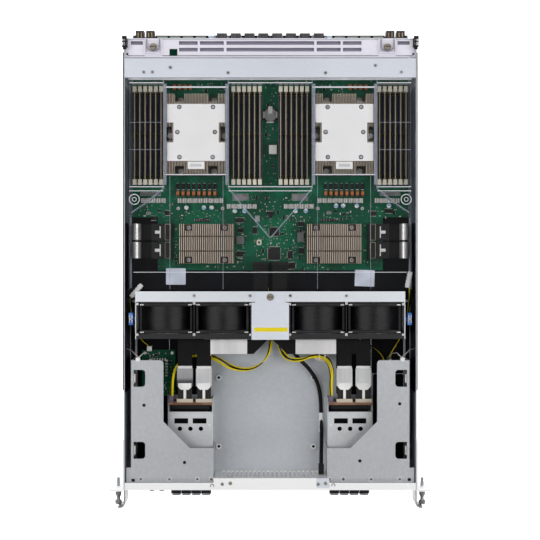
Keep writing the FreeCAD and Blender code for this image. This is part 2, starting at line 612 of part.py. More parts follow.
def cpu_sockets():
    frame = centred("socket_frame", "cpu_x", "cpu_y", ("board_top", "board_top + socket_height"),
                    "socket_width", "socket_length")
    lid = centred("cpu_lid", "cpu_x", "cpu_y", ("board_top + socket_height", "sink_low"),
                  "cpu_lid_width", "cpu_lid_length")
    node("cpu_sockets", pair("socket_pair", fuse("socket_whole", [frame, lid])))


def finned(name, width, length, base, height, gauge, pitch, count):
    # A base with upright fins along Y, standing at the origin.
    y = around("0", length)
    body = prism(name, "XY", rectangle(around("0", width), y), ("0", base))
    first = f"-({count} - 1)*{pitch}/2"
    fin = pad(body, name + "_fin", "XY", rectangle(around(first, gauge), y), (base, height))
    row = body.newObject("PartDesign::LinearPattern", name + "_row")
    row.Originals = [fin]
    row.Direction = (origin(body, "X_Axis"), [""])
    bind(row, "Length", f"({count} - 1)*{pitch}")
    bind(row, "Occurrences", count)
    body.Tip = row
    return body


def cpu_heatsinks():
    for side, sign in (("left", "-"), ("right", "")):
        sink = finned(f"{side}_sink", "sink_width", "sink_length", "sink_base", "sink_height",
                      "fin_gauge", "fin_pitch", "fin_count")
        z = ("sink_base", "sink_height + cut_margin")
        tools = []
        for across in (-1, 1):
            x = around(f"{across}*end_notch_x", "end_notch_width")
            for along in (-1, 1):
                y = signed(along, "sink_length/2 - end_notch_depth", "sink_length/2 + cut_margin")
                tools.append(block(f"{side}_end_{across}_{along}", x, y, z))
            x = signed(across, "sink_width/2 - side_notch_width", "sink_width/2 + cut_margin")
            tools.append(block(f"{side}_mid_{across}", x, around("0", "side_notch_length"), z))
        notched = cut(f"{side}_sink_notched", sink, tools)
        node(f"{side}_cpu_heatsink", place(notched, f"{sign}cpu_x", "cpu_y", "sink_low"))


def heatsink_plates():
    wide, waist = "plate_width/2", "plate_waist/2"
    end, step, mid = "plate_length/2", "plate_waist_length/2", "cpu_y + plate_shift"
    half = [(wide, f"-{end}"), (wide, f"-{step}"), (waist, f"-{step}"), (waist, step), (wide, step),
            (wide, end)]
    plan = [(f"cpu_x + {x}", f"{mid} + {y}") for x, y in half]
    plan += [(f"cpu_x - {x}", f"{mid} + {y}") for x, y in reversed(half)]
    plate = prism("plate_sheet", "XY", plan, ("sink_top", "sink_top + plate_gauge"))
    node("heatsink_plates", pair("plate_pair", plate))


def heatsink_screws():
    screws = []
    low = "switch_low + switch_base"
    for across in (-1, 1):
        spots = [(f"{across}*end_notch_x", f"{along}*(sink_length - end_notch_depth)/2")
                 for along in (-1, 1)]
        spots.append((f"{across}*(sink_width - side_notch_width)/2", "0"))
        for index, (x, y) in enumerate(spots):
            screws.append(rod(f"spring_screw_{across}_{index}", "z", (f"cpu_x + {x}", f"cpu_y + {y}"),
                              ("sink_fins", "sink_fins + spring_screw_height"), "spring_screw_radius"))
        for along in (-1, 1):
            spot = (f"switch_x + {across}*switch_screw_x", f"switch_y + {along}*switch_screw_y")
            screws.append(rod(f"switch_screw_{across}_{along}", "z", spot,
                              (low, f"{low} + switch_screw_height"), "switch_screw_radius"))
    node("heatsink_screws", pair("sink_screw_pair", group("sink_screws_right", screws)))


def both_banks(name, make):
    # One piece for each memory slot on the right of the tray.
    middle = "(slots_per_bank - 1)/2"
    return [make(f"{name}_{bank}_{index}", f"(bank_{bank}_x + ({index} - {middle})*slot_pitch)")
            for bank in ("inner", "outer") for index in range(int(value("slots_per_bank")))]


def dimm_sockets():
    def socket(name, x):
        outer, inner = "slot_body_width/2", "slot_groove/2"
        half = [(outer, "board_top"), (outer, "slot_top"), (inner, "slot_top"), (inner, "module_low")]
        profile = [(f"{x} + {dx}", z) for dx, z in half]
        profile += [(f"{x} - {dx}", z) for dx, z in reversed(half)]
        channel = prism(name, "XZ", profile, around("cpu_y", "slot_body_length"))
        foot = centred(name + "_foot", x, "cpu_y", ("board_top", "module_low"),
                       "slot_body_width", "slot_foot_length")
        return fuse(name + "_whole", [channel, foot])
    node("dimm_sockets", pair("slot_pair", group("slots_right", both_banks("slot", socket))))


def dimm_modules():
    def module(name, x):
        board = centred(name, x, "cpu_y", ("module_low + seat_gap", "module_low + module_height"),
                        "module_board", "module_length")
        low = "module_low + chip_row_lift"
        chips = [centred(f"{name}_chips_{along}", x, f"cpu_y + {along}*(chip_row_length + chip_row_gap)/2",
                         (low, f"{low} + chip_row_height"), "module_chips", "chip_row_length")
                 for along in (-1, 1)]
        return fuse(name + "_whole", [board] + chips)
    node("dimm_modules", pair("module_pair", group("modules_right", both_banks("module", module))))


def dimm_latches():
    # Each arm stands on a round foot, and the feet of one row share its hinge line.
    inner, top = "module_length/2 + seat_gap", "board_top + clip_top"
    outer = f"{inner} + clip_thick"
    arm = [("clip_pivot_out - clip_foot/2", "clip_pivot_z"), ("clip_pivot_out + clip_foot", "clip_pivot_z"),
           (outer, "clip_pivot_z + clip_foot"), (outer, f"{top} - clip_tab"), (f"{outer} + clip_tab", top),
           (inner, top), (inner, "clip_pivot_z + clip_foot/2")]
    for side, across in (("left", -1), ("right", 1)):
        for end, along in (("front", -1), ("rear", 1)):
            def latch(name, x, across=across, along=along):
                points = [(f"cpu_y + {along}*({y})", z) for y, z in arm]
                span = around(f"{across}*{x}", "clip_width")
                pivot = (f"cpu_y + {along}*clip_pivot_out", "clip_pivot_z")
                return fuse(name + "_whole", [prism(name, "YZ", points, span),
                                              rod(name + "_foot", "x", pivot, span, "clip_foot")])
            name = f"{side}_{end}_dimm_latches"
            node(name, group(name + "_row", both_banks(name, latch)))


def switch_heatsinks():
    for side, sign in (("left", "-"), ("right", "")):
        sink = finned(f"{side}_switch", "switch_width", "switch_length", "switch_base", "switch_height",
                      "switch_fin", "switch_pitch", "switch_fins")
        tools = []
        for along in (-1, 1):
            tools.append(block(f"{side}_groove_{along}", ("-switch_width", "switch_width"),
                               around(f"{along}*groove_y", "groove_width"),
                               ("switch_height - groove_depth", "switch_height + cut_margin")))
            for across in (-1, 1):
                tools.append(centred(f"{side}_pocket_{across}_{along}", f"{across}*switch_screw_x",
                                     f"{along}*switch_screw_y",
                                     ("switch_base", "switch_height + cut_margin"),
                                     "switch_pocket", "switch_pocket"))
        grooved = cut(f"{side}_switch_grooved", sink, tools)
        node(f"{side}_switch_heatsink", place(grooved, f"{sign}switch_x", "switch_y", "switch_low"))


def row_of(name, start, pitch, count, y, z, width, length):
    return [centred(f"{name}_{index}", f"{start} + {index}*{pitch}", y, z, width, length)
            for index in range(int(value(count)))]


def board_rows():
    z = ("board_top", "board_top + coil_height")
    coils = []
    for spot in ("cpu", "inner", "outer"):
        coils += row_of(f"coil_{spot}", f"coil_{spot}_x", "coil_pitch", f"coil_{spot}_count",
                        f"board_rear - coil_{spot}_back", z, "coil_width", "coil_length")
    node("inductors", pair("coil_pair", group("coils_right", coils)))
    z = ("board_top", "board_top + orange_height")
    caps = row_of("orange_front", "orange_x", "orange_pitch", "orange_count", "board_rear - orange_back", z,
                  "orange_width", "orange_length")
    caps += row_of("orange_rear", "orange_rear_x", "orange_pitch", "orange_rear_count",
                   "board_rear - orange_rear_back", z, "orange_width", "orange_length")
    node("orange_capacitors", pair("orange_pair", group("orange_right", caps)))


def polymer_capacitors():
    z = ("board_top", "board_top + can_height")
    cans = [rod(f"can_{index}", "z", (str(x), f"board_rear - {back}"), z, "can_radius")
            for index, (x, back) in enumerate(can_spots)]
    node("polymer_capacitors", group("cans", cans))


def board_chips():
    package = centred("switch_package", "switch_x", "switch_y", ("board_top", "switch_low"),
                      "switch_chip", "switch_chip")
    packages = [package, mirror("switch_package_left", package)]
    z = ("board_top", "board_top + chip_height")
    packages += [centred(f"controller_{index}", str(x), f"board_front + {ahead}", z, str(width), str(length))
                 for index, (x, ahead, width, length) in enumerate(chip_spots)]
    node("board_chips", group("packages", packages))


def coin_cell():
    low = "board_top + cell_holder"
    cell = rod("cell", "z", ("0", "board_rear - cell_back"), (low, f"{low} + cell_height"), "cell_radius")
    node("coin_cell", cell)


def board_connectors():
    parts = [centred("cell_seat", "0", "board_rear - cell_back", ("board_top", "board_top + cell_holder"),
                     "cell_holder_width", "cell_holder_length"),
             centred("fan_header", "header_x", "board_rear - header_back",
                     ("board_top", "board_top + header_height"), "header_width", "header_length"),
             block("cable_plug", around("cable_plug_x", "cable_plug_width"),
                   ("front_y + recess_depth", "front_y + recess_depth + cable_plug_length"),
                   ("cable_plug_low", "cable_plug_low + cable_plug_height"))]
    paired = [block("ribbon_socket", around("ribbon_centre", "ribbon_width + 2*ribbon_socket_wall"),
                    ("ribbon_socket_y", "ribbon_socket_y + ribbon_socket_depth"),
                    ("board_top", "ribbon_socket_top")),
              block("card_link",
                    ("bay_inner + sheet_gauge + link_inset", "bay_outer - sheet_gauge - link_inset"),
                    ("riser_front_y - link_depth", "riser_front_y"),
                    ("link_low", "link_low + link_height"))]
    for spot in ("a", "b"):
        paired.append(block(f"side_socket_{spot}", ("side_plug_x", "side_plug_x + side_socket_depth"),
                            around(f"board_front + side_plug_{spot}", "side_width"),
                            ("board_top", "board_top + side_socket_height")))
    for piece in paired:
        parts += [piece, mirror(f"{piece.Name}_left", piece)]
    for side in (-1, 1):
        for spot in ("a", "b"):
            parts.append(block(f"receptacle_{side}_{spot}",
                               around(f"{side}*bay_x + plug_shift_{spot}", "plug_width + 2*receptacle_side"),
                               ("riser_rear_y", "riser_rear_y + receptacle_depth"),
                               ("plug_low - receptacle_rim", "plug_top + receptacle_rim")))
        parts.append(block(f"lead_plug_{side}", around(f"{side}*bay_x + lead_shift", "lead_plug"),
                           ("riser_rear_y", "riser_rear_y + lead_plug_length"),
                           ("lead_plug_low", "lead_plug_low + lead_plug_height")))
    node("board_connectors", group("connector_shells", parts))


def fan_cage():
    # Sheets that meet face to face: a floor, two pierced walls, two top lips and upright dividers.
    wide, top = ("-cage_half", "cage_half"), ("cage_top_z - sheet_gauge", "cage_top_z")
    inside = ("cage_front_y + sheet_gauge", "cage_wall_y - sheet_gauge")
    window = around("0", "2*(channel_half - sheet_gauge)")
    sheets = [block("cage_floor", wide, inside, ("sheet_gauge", "fan_low")),
              block("cage_front_lip", wide, ("cage_tip_y", "cage_front_y"), top)]
    for end, y in (("front", ("cage_front_y", inside[0])), ("rear", (inside[1], "cage_wall_y"))):
        holes = [block(f"cage_{end}_channel", window, through(*y),
                       ("fan_low + channel_front_low", "channel_window"))]
        for index in range(2):
            eye = rod(f"cage_{end}_eye_{index}", "y", (f"fan_first + {index}*fan_pitch", "fan_z"),
                      through(*y), "fan_bore")
            holes += [eye, mirror(f"cage_{end}_eye_{index}_left", eye)]
        wall = block(f"cage_{end}_wall", wide, y, ("sheet_gauge", "cage_top_z"))
        sheets.append(cut(f"cage_{end}_pierced", wall, holes))
    lip = block("cage_rear_lip", wide, ("cage_wall_y", "cage_rear_y"), top)
    screw = rod("cage_screw_hole", "z", ("0", "cover_screw_y"), through(*top), "cover_shank + running_gap")
    sheets.append(cut("cage_rear_lip_drilled", lip, [screw]))
    upright = ("fan_low", "cage_top_z")
    end_x = ("cage_end", "cage_half")
    pin = rod("cage_pin_hole", "x", ("latch_y", "latch_z - latch_height/2"), through(*end_x),
              "latch_pin + running_gap")
    paired = [cut("cage_end_drilled", block("cage_end_wall", end_x, inside, upright), [pin])]
    for spot, x in (("inner", "channel_half - sheet_gauge"), ("middle", "fan_wall_x - sheet_gauge/2")):
        paired.append(block(f"cage_{spot}_wall", (x, f"{x} + sheet_gauge"), inside, upright))
    for sheet_part in paired:
        sheets += [sheet_part, mirror(f"{sheet_part.Name}_left", sheet_part)]
    node("fan_cage", group("cage_sheets", sheets))


def fan_cover_plate():
    shoulder, lip = "cage_wall_y - sheet_gauge", "cage_tip_y - sheet_gauge"
    half = [("cover_half", lip), ("cover_half", shoulder), ("cover_bracket_half", shoulder),
            ("cover_bracket_half", "cage_rear_y")]
    plan = half + [(f"-{x}", y) for x, y in reversed(half)]
    z = ("cage_top_z", "cage_top_z + sheet_gauge")
    plate = prism("cover_sheet", "XY", plan, z)
    fold = block("cover_fold", ("-cover_half", "cover_half"), (lip, "cage_tip_y"),
                 ("cage_top_z - cover_lip", "cage_top_z"))
    hole = rod("cover_hole", "z", ("0", "cover_screw_y"), through(*z), "cover_shank + running_gap")
    node("fan_cover_plate", cut("cover_drilled", fuse("cover_folded", [plate, fold]), [hole]))


def cover_thumbscrew():
    profile = knob_profile("cover_shank", "cover_tail", "cover_knob", "cover_knob_length")
    screw = turned("cover_screw", profile)
    node("cover_thumbscrew", place(screw, "0", "cover_screw_y", "cage_top_z + sheet_gauge"))


def fan_frame(name, x):
    # Two square flanges joined by a round barrel, with the motor mount on struts at the rear.
    half, inset = "fan_size/2", "(fan_size/2 - fan_corner)"
    corner = [(half, inset), (inset, half)]
    square = []
    for turn, (across, up) in enumerate(((1, 1), (-1, 1), (-1, -1), (1, -1))):
        square += [(f"{across}*{a}", f"{up}*{b}") for a, b in (corner[::-1] if turn % 2 else corner)]
    axis, depth = ("0", "0"), ("0", "fan_depth")
    blank = [prism(f"{name}_front", "XZ", square, ("0", "fan_plate")),
             prism(f"{name}_rear", "XZ", square, ("fan_depth - fan_plate", "fan_depth")),
             rod(f"{name}_barrel", "y", axis, depth, "fan_barrel")]
    tools = [rod(f"{name}_bore", "y", axis, through(*depth), "fan_bore")]
    for across in (-1, 1):
        for up in (-1, 1):
            tools.append(rod(f"{name}_bolt_{across}_{up}", "y", (f"{across}*fan_bolt", f"{up}*fan_bolt"),
                             through(*depth), "fan_bolt_hole"))
    shell = cut(f"{name}_shell", fuse(f"{name}_blank", blank), tools)
    face = "fan_depth - stator_depth"
    thin, reach = around("0", "strut_width"), around("0", "2*(fan_bore + strut_bite)")
    strut = ("fan_depth - strut_width", "fan_depth")
    spider = [rod(f"{name}_stator", "y", axis, (face, "fan_depth"), "stator_radius"),
              rod(f"{name}_core", "y", axis, (f"{face} - core_length", face), "core_radius"),
              block(f"{name}_strut_x", reach, strut, thin), block(f"{name}_strut_z", thin, strut, reach)]
    seat = rod(f"{name}_seat", "y", axis, through(*depth), "shaft_radius + running_gap")
    mount = cut(f"{name}_mount", fuse(f"{name}_spider", spider), [seat])
    node(name, place(fuse(f"{name}_whole", [shell, mount]), x, "fan_front_y", "fan_z"))


def fan_rotor(name, x):
    # A hollow hub and shaft with twisted blades, turning about Y.
    face = "fan_depth - stator_depth - rotor_gap"
    start = f"{face} - rotor_depth"
    cup, floor = "rotor_hub - rotor_wall", f"{start} + rotor_wall"
    end = "fan_depth - shaft_short"
    profile = [("0", start), ("rotor_hub - rotor_nose", start), ("rotor_hub", f"{start} + rotor_nose"),
               ("rotor_hub", face), (cup, face), (cup, floor), ("shaft_radius", floor),
               ("shaft_radius", end), ("0", end)]
    body = doc.addObject("PartDesign::Body", name + "_body")
    sketch = outline(body, name + "_profile", "XY", "0", profile)
    spin = body.newObject("PartDesign::Revolution", name + "_hub")
    spin.Profile = sketch
    spin.ReferenceAxis = (sketch, ["V_Axis"])
    spin.Angle = 360
    middle = f"{face} - rotor_depth/2"

    def section(label, offset, half, rise):
        points = [(f"{middle} - {half}", f"-{rise}"), (f"{middle} - {half} + blade_gauge", f"-{rise}"),
                  (f"{middle} + {half}", rise), (f"{middle} + {half} - blade_gauge", rise)]
        return outline(body, name + label, "YZ", offset, points)
    root = section("_root", "rotor_hub - rotor_wall/2", "blade_root_half", "blade_root_rise")
    tip = section("_tip", "rotor_tip + blade_overrun", "blade_tip_half", "blade_tip_rise")
    blade = body.newObject("PartDesign::AdditiveLoft", name + "_blade")
    blade.Profile = root
    blade.Sections = [tip]
    ring = body.newObject("PartDesign::PolarPattern", name + "_ring")
    ring.Originals = [blade]
    ring.Axis = (origin(body, "Y_Axis"), [""])
    ring.Angle = 360
    bind(ring, "Occurrences", "blade_count")
    body.Tip = ring
    sweep = rod(name + "_sweep", "y", ("0", "0"), ("0", "fan_depth"), "rotor_tip")
    node(name, place(common(name + "_trimmed", body, sweep), x, "fan_front_y", "fan_z"))


def fans():
    places = ("-fan_first - fan_pitch", "-fan_first", "fan_first", "fan_first + fan_pitch")
    for index, x in enumerate(places, start=1):
        fan_frame(f"fan_frame_{index}", x)
        fan_rotor(f"fan_rotor_{index}", x)


def cage_latches():
    side, out = "latch_side", "latch_side + latch_block"
    half, cup = "latch_length/2", "latch_length/4"
    dish = f"{out} - latch_dish"
    edge = [(side, half), (out, half), (out, cup), (dish, f"{cup}/2")]
    plan = [(x, f"latch_y - {y}") for x, y in edge]
    plan += [(x, f"latch_y + {y}") for x, y in reversed(edge)]
    grip = prism("latch_grip", "XY", plan, ("latch_z - latch_height", "latch_z"))
    pin = rod("latch_guide", "x", ("latch_y", "latch_z - latch_height/2"), ("cage_end", side), "latch_pin")
    whole = fuse("latch_whole", [grip, pin])
    node("right_cage_latch", whole)
    node("left_cage_latch", mirror("latch_whole_left", whole))


def wall_between(name, start, end, z):
    # An upright panel between two points of the plan, with its ends square to the tray.
    (x1, y1), (x2, y2) = start, end
    plan = [(x1, y1), (x2, y2), (f"({x2}) + 2*shroud_gauge", y2), (f"({x1}) + 2*shroud_gauge", y1)]
    return prism(name, "XY", plan, z)


def air_shroud():
    # Clear flat panels bonded edge to edge under one top sheet.
    y, edge = ("shroud_front", "shroud_rear"), "shroud_half - shroud_gauge"
    to_board, to_end = ("board_top", "shroud_under"), ("duct_end_low", "shroud_under")
    to_sink = ("sink_top + plate_gauge + stop_gap", "shroud_under")
    inner = around("duct_inner", "shroud_gauge")
    outer = around("duct_outer", "shroud_gauge")
    along = ("duct_front", "duct_rear")
    half = [block("duct_wall_inner", inner, along, to_board),
            block("duct_wall_outer", outer, along, to_board),
            block("shroud_side", (edge, "shroud_half"), y, ("shroud_under - shroud_skirt", "shroud_under"))]
    for end, wall in (("rear", "duct_rear - {}_stop_rear"), ("front", "duct_front + {}_stop_front")):
        over_sink, over_bank = [(near, f"{near} + shroud_gauge")
                                for near in (wall.format("duct"), wall.format("bank"))]
        half += [block(f"duct_{end}_stop", (inner[1], outer[0]), over_sink, to_sink),
                 block(f"bank_{end}_stop", (outer[1], edge), over_bank, to_end),
                 block(f"inner_{end}_stop", ("stop_inner", inner[0]), over_bank, to_end)]
    low = ("vee_low", "shroud_under")
    elbow, nose = ("vee_inner", "duct_front - vee_drop"), ("0", "duct_front - vee_point_drop")
    wing = ("wing_x", "duct_front - wing_drop")
    wing_end = (f"{edge} - 2*shroud_gauge", "duct_front - wing_end_drop")
    half += [wall_between("vee_outer", (inner[0], "duct_front"), elbow, low),
             wall_between("vee_nose", elbow, nose, low),
             wall_between("wing_root", (outer[0], "duct_front"), wing, low),
             wall_between("wing_tip", wing, wing_end, low)]
    panels = [block("shroud_sheet", ("-shroud_half", "shroud_half"), y, ("shroud_under", "shroud_top"))]
    for piece in half:
        panels += [piece, mirror(f"{piece.Name}_left", piece)]
    node("air_shroud", group("shroud_panels", panels))


def bay_covers():
    outer, step, inner = "lid_outer", "lid_step_x", "lid_inner"
    back, tip = "front_y + lid_back", "front_y + lid_front"
    neck, ear_y, ear_x = "front_y + lid_front_back", "front_y + lid_ear_back", "wall_in - lid_ear_gap"
    plan = [(outer, back), (step, back), (step, "front_y + lid_diagonal"),
            (f"{step} - (lid_diagonal - lid_front_back)", neck), (inner, neck),
            (inner, tip), (ear_x, tip), (ear_x, ear_y), (outer, ear_y)]
    lid = prism("lid_sheet", "XY", plan, ("lid_under", "lid_top"))
    soften(lid, "lid_round", "lid_corner", upright_at(value(step), value(back)))
    grips = []
    for spot in ("rear", "front"):
        x, y = ("grip_out - grip_width", "grip_out"), around(f"front_y + grip_{spot}", "grip_length")
        hole = prism(f"grip_{spot}_hole", "XY", rectangle(x, y), through("lid_under", "lid_top"))
        near = [upright_at(value(x[0]), value(end)) for end in y]
        soften(hole, f"grip_{spot}_round", "grip_corner",
               lambda edge, near=near: any(test(edge) for test in near))
        grips.append(hole)
    z = ("sheet_gauge", "lid_under")
    skirt = block("lid_skirt", (f"{outer} - sheet_gauge", outer), (ear_y, back), z)
    cheek = block("lid_cheek", (inner, f"{inner} + sheet_gauge"), ("front_y + recess_depth", neck), z)
    whole = cut("lid_pierced", fuse("lid_folded", [lid, skirt, cheek]), grips)
    node("right_bay_cover", whole)
    node("left_bay_cover", mirror("lid_left", whole))


def ocp_cages():
    top = ("bay_top - sheet_gauge", "bay_top")
    front = "front_y + bay_roof_front"
    roof = block("bay_roof", ("bay_inner", "bay_outer"), (front, "front_y + bay_roof_back"), top)
    walls = [block(f"bay_{spot}_wall", (x, f"{x} + sheet_gauge"), (front, "front_y + bay_wall_back"),
                   ("sheet_gauge", "bay_top"))
             for spot, x in (("inner", "bay_inner"), ("outer", "bay_outer - sheet_gauge"))]
    tools = [centred(f"roof_window_{side}", f"port_x + {side}*bay_window_x", "front_y + bay_window_y",
                     through(*top), "bay_window_width", "bay_window_length") for side in (-1, 1)]
    tools += [rod(f"roof_hole_{step}", "z", (f"port_x + {step}*bay_hole_pitch", "front_y + bay_hole_y"),
                  through(*top), "bay_hole") for step in (-1, 0, 1)]
    node("ocp_cages", pair("bay_pair", cut("bay_cage", fuse("bay_folded", [roof] + walls), tools)))


def port_boards():
    inner, outer = "bay_inner + sheet_gauge", "bay_outer - sheet_gauge"
    riser = block("riser", (inner, outer), ("riser_front_y", "riser_rear_y"), ("riser_low", "riser_top"))
    card = block("card", (f"{inner} + card_inset", f"{outer} - card_inset"),
                 ("front_y + sheet_gauge + card_front_gap", "riser_front_y - link_depth"),
                 ("card_low", "port_low"))
    node("port_boards", pair("card_pair", group("cards_right", [riser, card])))


def port_bay_x(index):
    return f"port_x - port_width/2 + port_wall/2 + {2 * index + 1}*port_pitch/2"


def port_cages():
    shell = block("port_shell", around("port_x", "port_width"), ("port_face", "port_face + port_length"),
                  ("port_low", "port_low + port_height"))
    z = ("port_low + port_wall", "port_low + port_height - port_wall")
    tools = [centred(f"port_bay_{index}", port_bay_x(index), "port_face", z, "port_opening", "port_length")
             for index in range(int(value("port_count")))]
    cages = pair("port_pair", cut("port_bays", shell, tools))
    shells = [block(f"usb_shell_{index}", around(f"{index}*usb_pitch - usb_x", "usb_width + 2*usb_wall"),
                    ("front_y + sheet_gauge", "front_y + sheet_gauge + usb_depth"),
                    ("usb_low - usb_wall", "usb_low + usb_height + usb_wall")) for index in range(2)]
    node("port_cages", group("port_shells", [cages] + shells))


def dust_plugs():
    plugs = []
    for index in range(int(value("port_count"))):
        x = port_bay_x(index)
        stem = block(f"dust_stem_{index}", around(x, "port_opening - 2*dust_fit"),
                     ("port_face", "port_face + dust_depth"),
                     ("port_low + port_wall + dust_fit", "port_low + port_height - port_wall - dust_fit"))
        cap = block(f"dust_cap_{index}", around(x, "port_opening + dust_rim"),
                    ("port_face - dust_proud", "port_face"),
                    ("port_low - dust_rim", "port_low + port_height + dust_rim"))
        plugs.append(fuse(f"dust_plug_{index}", [stem, cap]))
    node("dust_plugs", pair("dust_pair", group("dust_right", plugs)))


def cable_plugs():
    parts = []
    for side in (-1, 1):
        for spot in ("a", "b"):
            x = f"{side}*bay_x + plug_shift_{spot}"
            shell = block(f"shell_{side}_{spot}", around(x, "plug_width"), ("plug_front", "plug_rear"),
                          ("plug_low", "plug_top"))
            nose = block(f"nose_{side}_{spot}", around(x, "plug_width - 2*nose_inset"),
                         ("plug_front - nose_length", "plug_front"),
                         ("plug_low + nose_inset", "plug_top - nose_inset"))
            parts.append(fuse(f"plug_{side}_{spot}", [shell, nose]))
    start = "side_plug_x + side_socket_depth"
    for spot in ("a", "b"):
        plug = block(f"side_plug_{spot}", (start, f"{start} + side_plug_length"),
                     around(f"board_front + side_plug_{spot}", "side_width"),
                     ("board_top + seat_gap", "board_top + side_socket_height"))
        parts += [plug, mirror(f"side_plug_{spot}_left", plug)]
    node("cable_plugs", group("plug_shells", parts))


def pull_tabs():
    half, stem = "tab_head/2", "tab_stem/2"
    lap, end = "plug_front + tab_lap", "riser_rear_y + receptacle_depth + seat_gap"
    neck = f"{lap} - tab_head_length"
    side = [(stem, end), (stem, neck), (f"{half} - tab_slope", neck), (half, f"{neck} + tab_slope"),
            (half, lap)]
    tabs = []
    for bay in (-1, 1):
        for spot in ("a", "b"):
            x = f"{bay}*bay_x + plug_shift_{spot}"
            plan = [(f"{x} + {dx}", y) for dx, y in side]
            plan += [(f"{x} - ({dx})", y) for dx, y in reversed(side)]
            tabs.append(prism(f"tab_{bay}_{spot}", "XY", plan, ("plug_top", "plug_top + tab_gauge")))
    node("pull_tabs", group("tabs", tabs))


def side_cables():
    # Each runs outward from its plug and turns down between the board and the wall.
    start = "side_plug_x + side_socket_depth + side_plug_length"
    high, low = "board_top + side_socket_height", "sheet_gauge + film_gauge"
    under, far = f"{high} - side_ribbon", "side_reach + side_ribbon"
    profile = [(start, under), ("side_reach", under), ("side_reach", low), (far, low),
               (far, f"{high} - side_ribbon/2"), ("side_reach + side_ribbon/2", high), (start, high)]
    return [prism(f"side_{spot}", "XZ", profile,
                  around(f"board_front + side_plug_{spot}", "side_width - 2*side_ribbon_inset"))
            for spot in ("a", "b")]


def ribbon(name, x, layer):
    # Runs back from its plug, folds across to the middle, folds back through the cage, drops to its socket.
    rear, front = "ribbon_row_rear", "ribbon_row_front"
    left, right = around(x, "ribbon_width")
    near, far = around("ribbon_centre", "ribbon_width")
    low = f"ribbon_low + {layer}*ribbon_step"
    fold, high = f"{low} + ribbon_gauge", f"{low} + 2*ribbon_gauge"
    drop = f"board_front + ribbon_drop + {layer}*ribbon_drop_step"
    end = f"{drop} + ribbon_gauge"
    run = [(left, "plug_rear"), (right, "plug_rear"), (right, rear), (left, front)]
    across = [(right, rear), (near, rear), (far, front), (left, front)]
    back = [(near, rear), (far, front), (far, end), (near, end)]
    return fuse(name, [prism(name + "_run", "XY", run, (low, fold)),
                       prism(name + "_across", "XY", across, (fold, high)),
                       prism(name + "_back", "XY", back, (low, fold)),
                       block(name + "_drop", (near, far), (drop, end), ("ribbon_socket_top", low))])


def flat_cables():
    cables = []
    for side, sign in (("left", "-"), ("right", "+")):
        # The plug nearer to the middle has the lower ribbon.
        order = ("a", "b") if side == "left" else ("b", "a")
        for layer, spot in enumerate(order):
            flat = ribbon(f"{side}_ribbon_{spot}", f"(bay_x {sign} plug_shift_{spot})", layer)
            cables.append(flat if side == "right" else mirror(f"{side}_ribbon_{spot}_flat", flat))
    for cable in side_cables():
        cables += [cable, mirror(f"{cable.Name}_left", cable)]
    node("flat_cables", group("ribbons", cables))


def power_leads():
    # From each riser under the ribbons, in a loop to the middle, then back through the cage.
    left = [(-150.75, -201, 50), (-150.75, -180, 50), (-144, -151, 39), (-114, -138, 33), (-84, -144, 35),
            (-58, -161, 40), (-28, -163, 42), (-4, -146, 38), (2, -120, 32), (3, -92, 30), (-2, -64, 29),
            (-7, -36, 23), (-9, -20, 20), (-9, -9, 20)]
    right = [(92.75, -201, 50), (92.75, -184, 50), (95, -164, 43), (88, -145, 37), (68, -140, 35),
             (46, -149, 36), (24, -146, 35), (14, -126, 30), (12, -102, 27), (12.5, -76, 26), (10, -46, 23),
             (8, -22, 20), (8, -9, 20)]
    leads = [tube("left_lead", "lead_radius", left), tube("right_lead", "lead_radius", right)]
    node("power_leads", group("leads", leads))


def signal_cable():
    # From the board through the cage and along the floor, then up to its plug on the vented wall.
    route = [(20, -9, 18), (20, -24, 18), (22, -46, 22), (21, -70, 21.5), (22, -96, 20), (26, -122, 20),
             (42, -145, 22), (62, -164, 18), (75, -187, 10), (79, -213, 5), (79, -240, 4.6), (80, -262, 8),
             (79, -280, 27), (78, -294, 44), (78, -306, 44)]
    node("signal_cable", tube("signal_lead", "cable_radius", route))


def rear_connectors():
    parts = []
    end = "board_rear + signal_out"
    for index in range(int(value("signal_count"))):
        x = f"({index} - (signal_count - 1)/2)*signal_pitch"
        parts.append(block(f"signal_{index}", around(x, "signal_width"), (f"{end} - signal_depth", end),
                           ("board_top", "board_top + signal_height")))
    end, top = "board_rear + power_out", "board_top + power_height"
    for spot in ("a", "b"):
        x = f"power_x_{spot}"
        shell = block(f"power_{spot}", around(x, "power_width"), (f"{end} - power_depth", end),
                      ("board_top", top))
        slots = [block(f"power_slot_{spot}_{side}", around(f"{x} + {side}*power_slot_x", "power_slot"),
                       (f"{end} - power_slot_depth", f"{end} + cut_margin"),
                       ("board_top + power_slot_inset", f"{top} - power_slot_inset")) for side in (-1, 1)]
        body = cut(f"power_body_{spot}", shell, slots)
        parts += [body, mirror(f"power_body_{spot}_left", body)]
    node("rear_connectors", group("rear_shells", parts))


def guide_modules():
    low, top, tip = "board_top", "board_top + guide_top", "board_rear + guide_out"
    start = f"{tip} - guide_depth"
    profile = [(start, low), (tip, low), (tip, f"{top} - guide_nose"), (f"{tip} - guide_nose", top),
               (start, top)]
    guide = prism("guide_block", "YZ", profile, around("guide_x", "guide_width"))
    node("guide_modules", pair("guide_pair", guide))


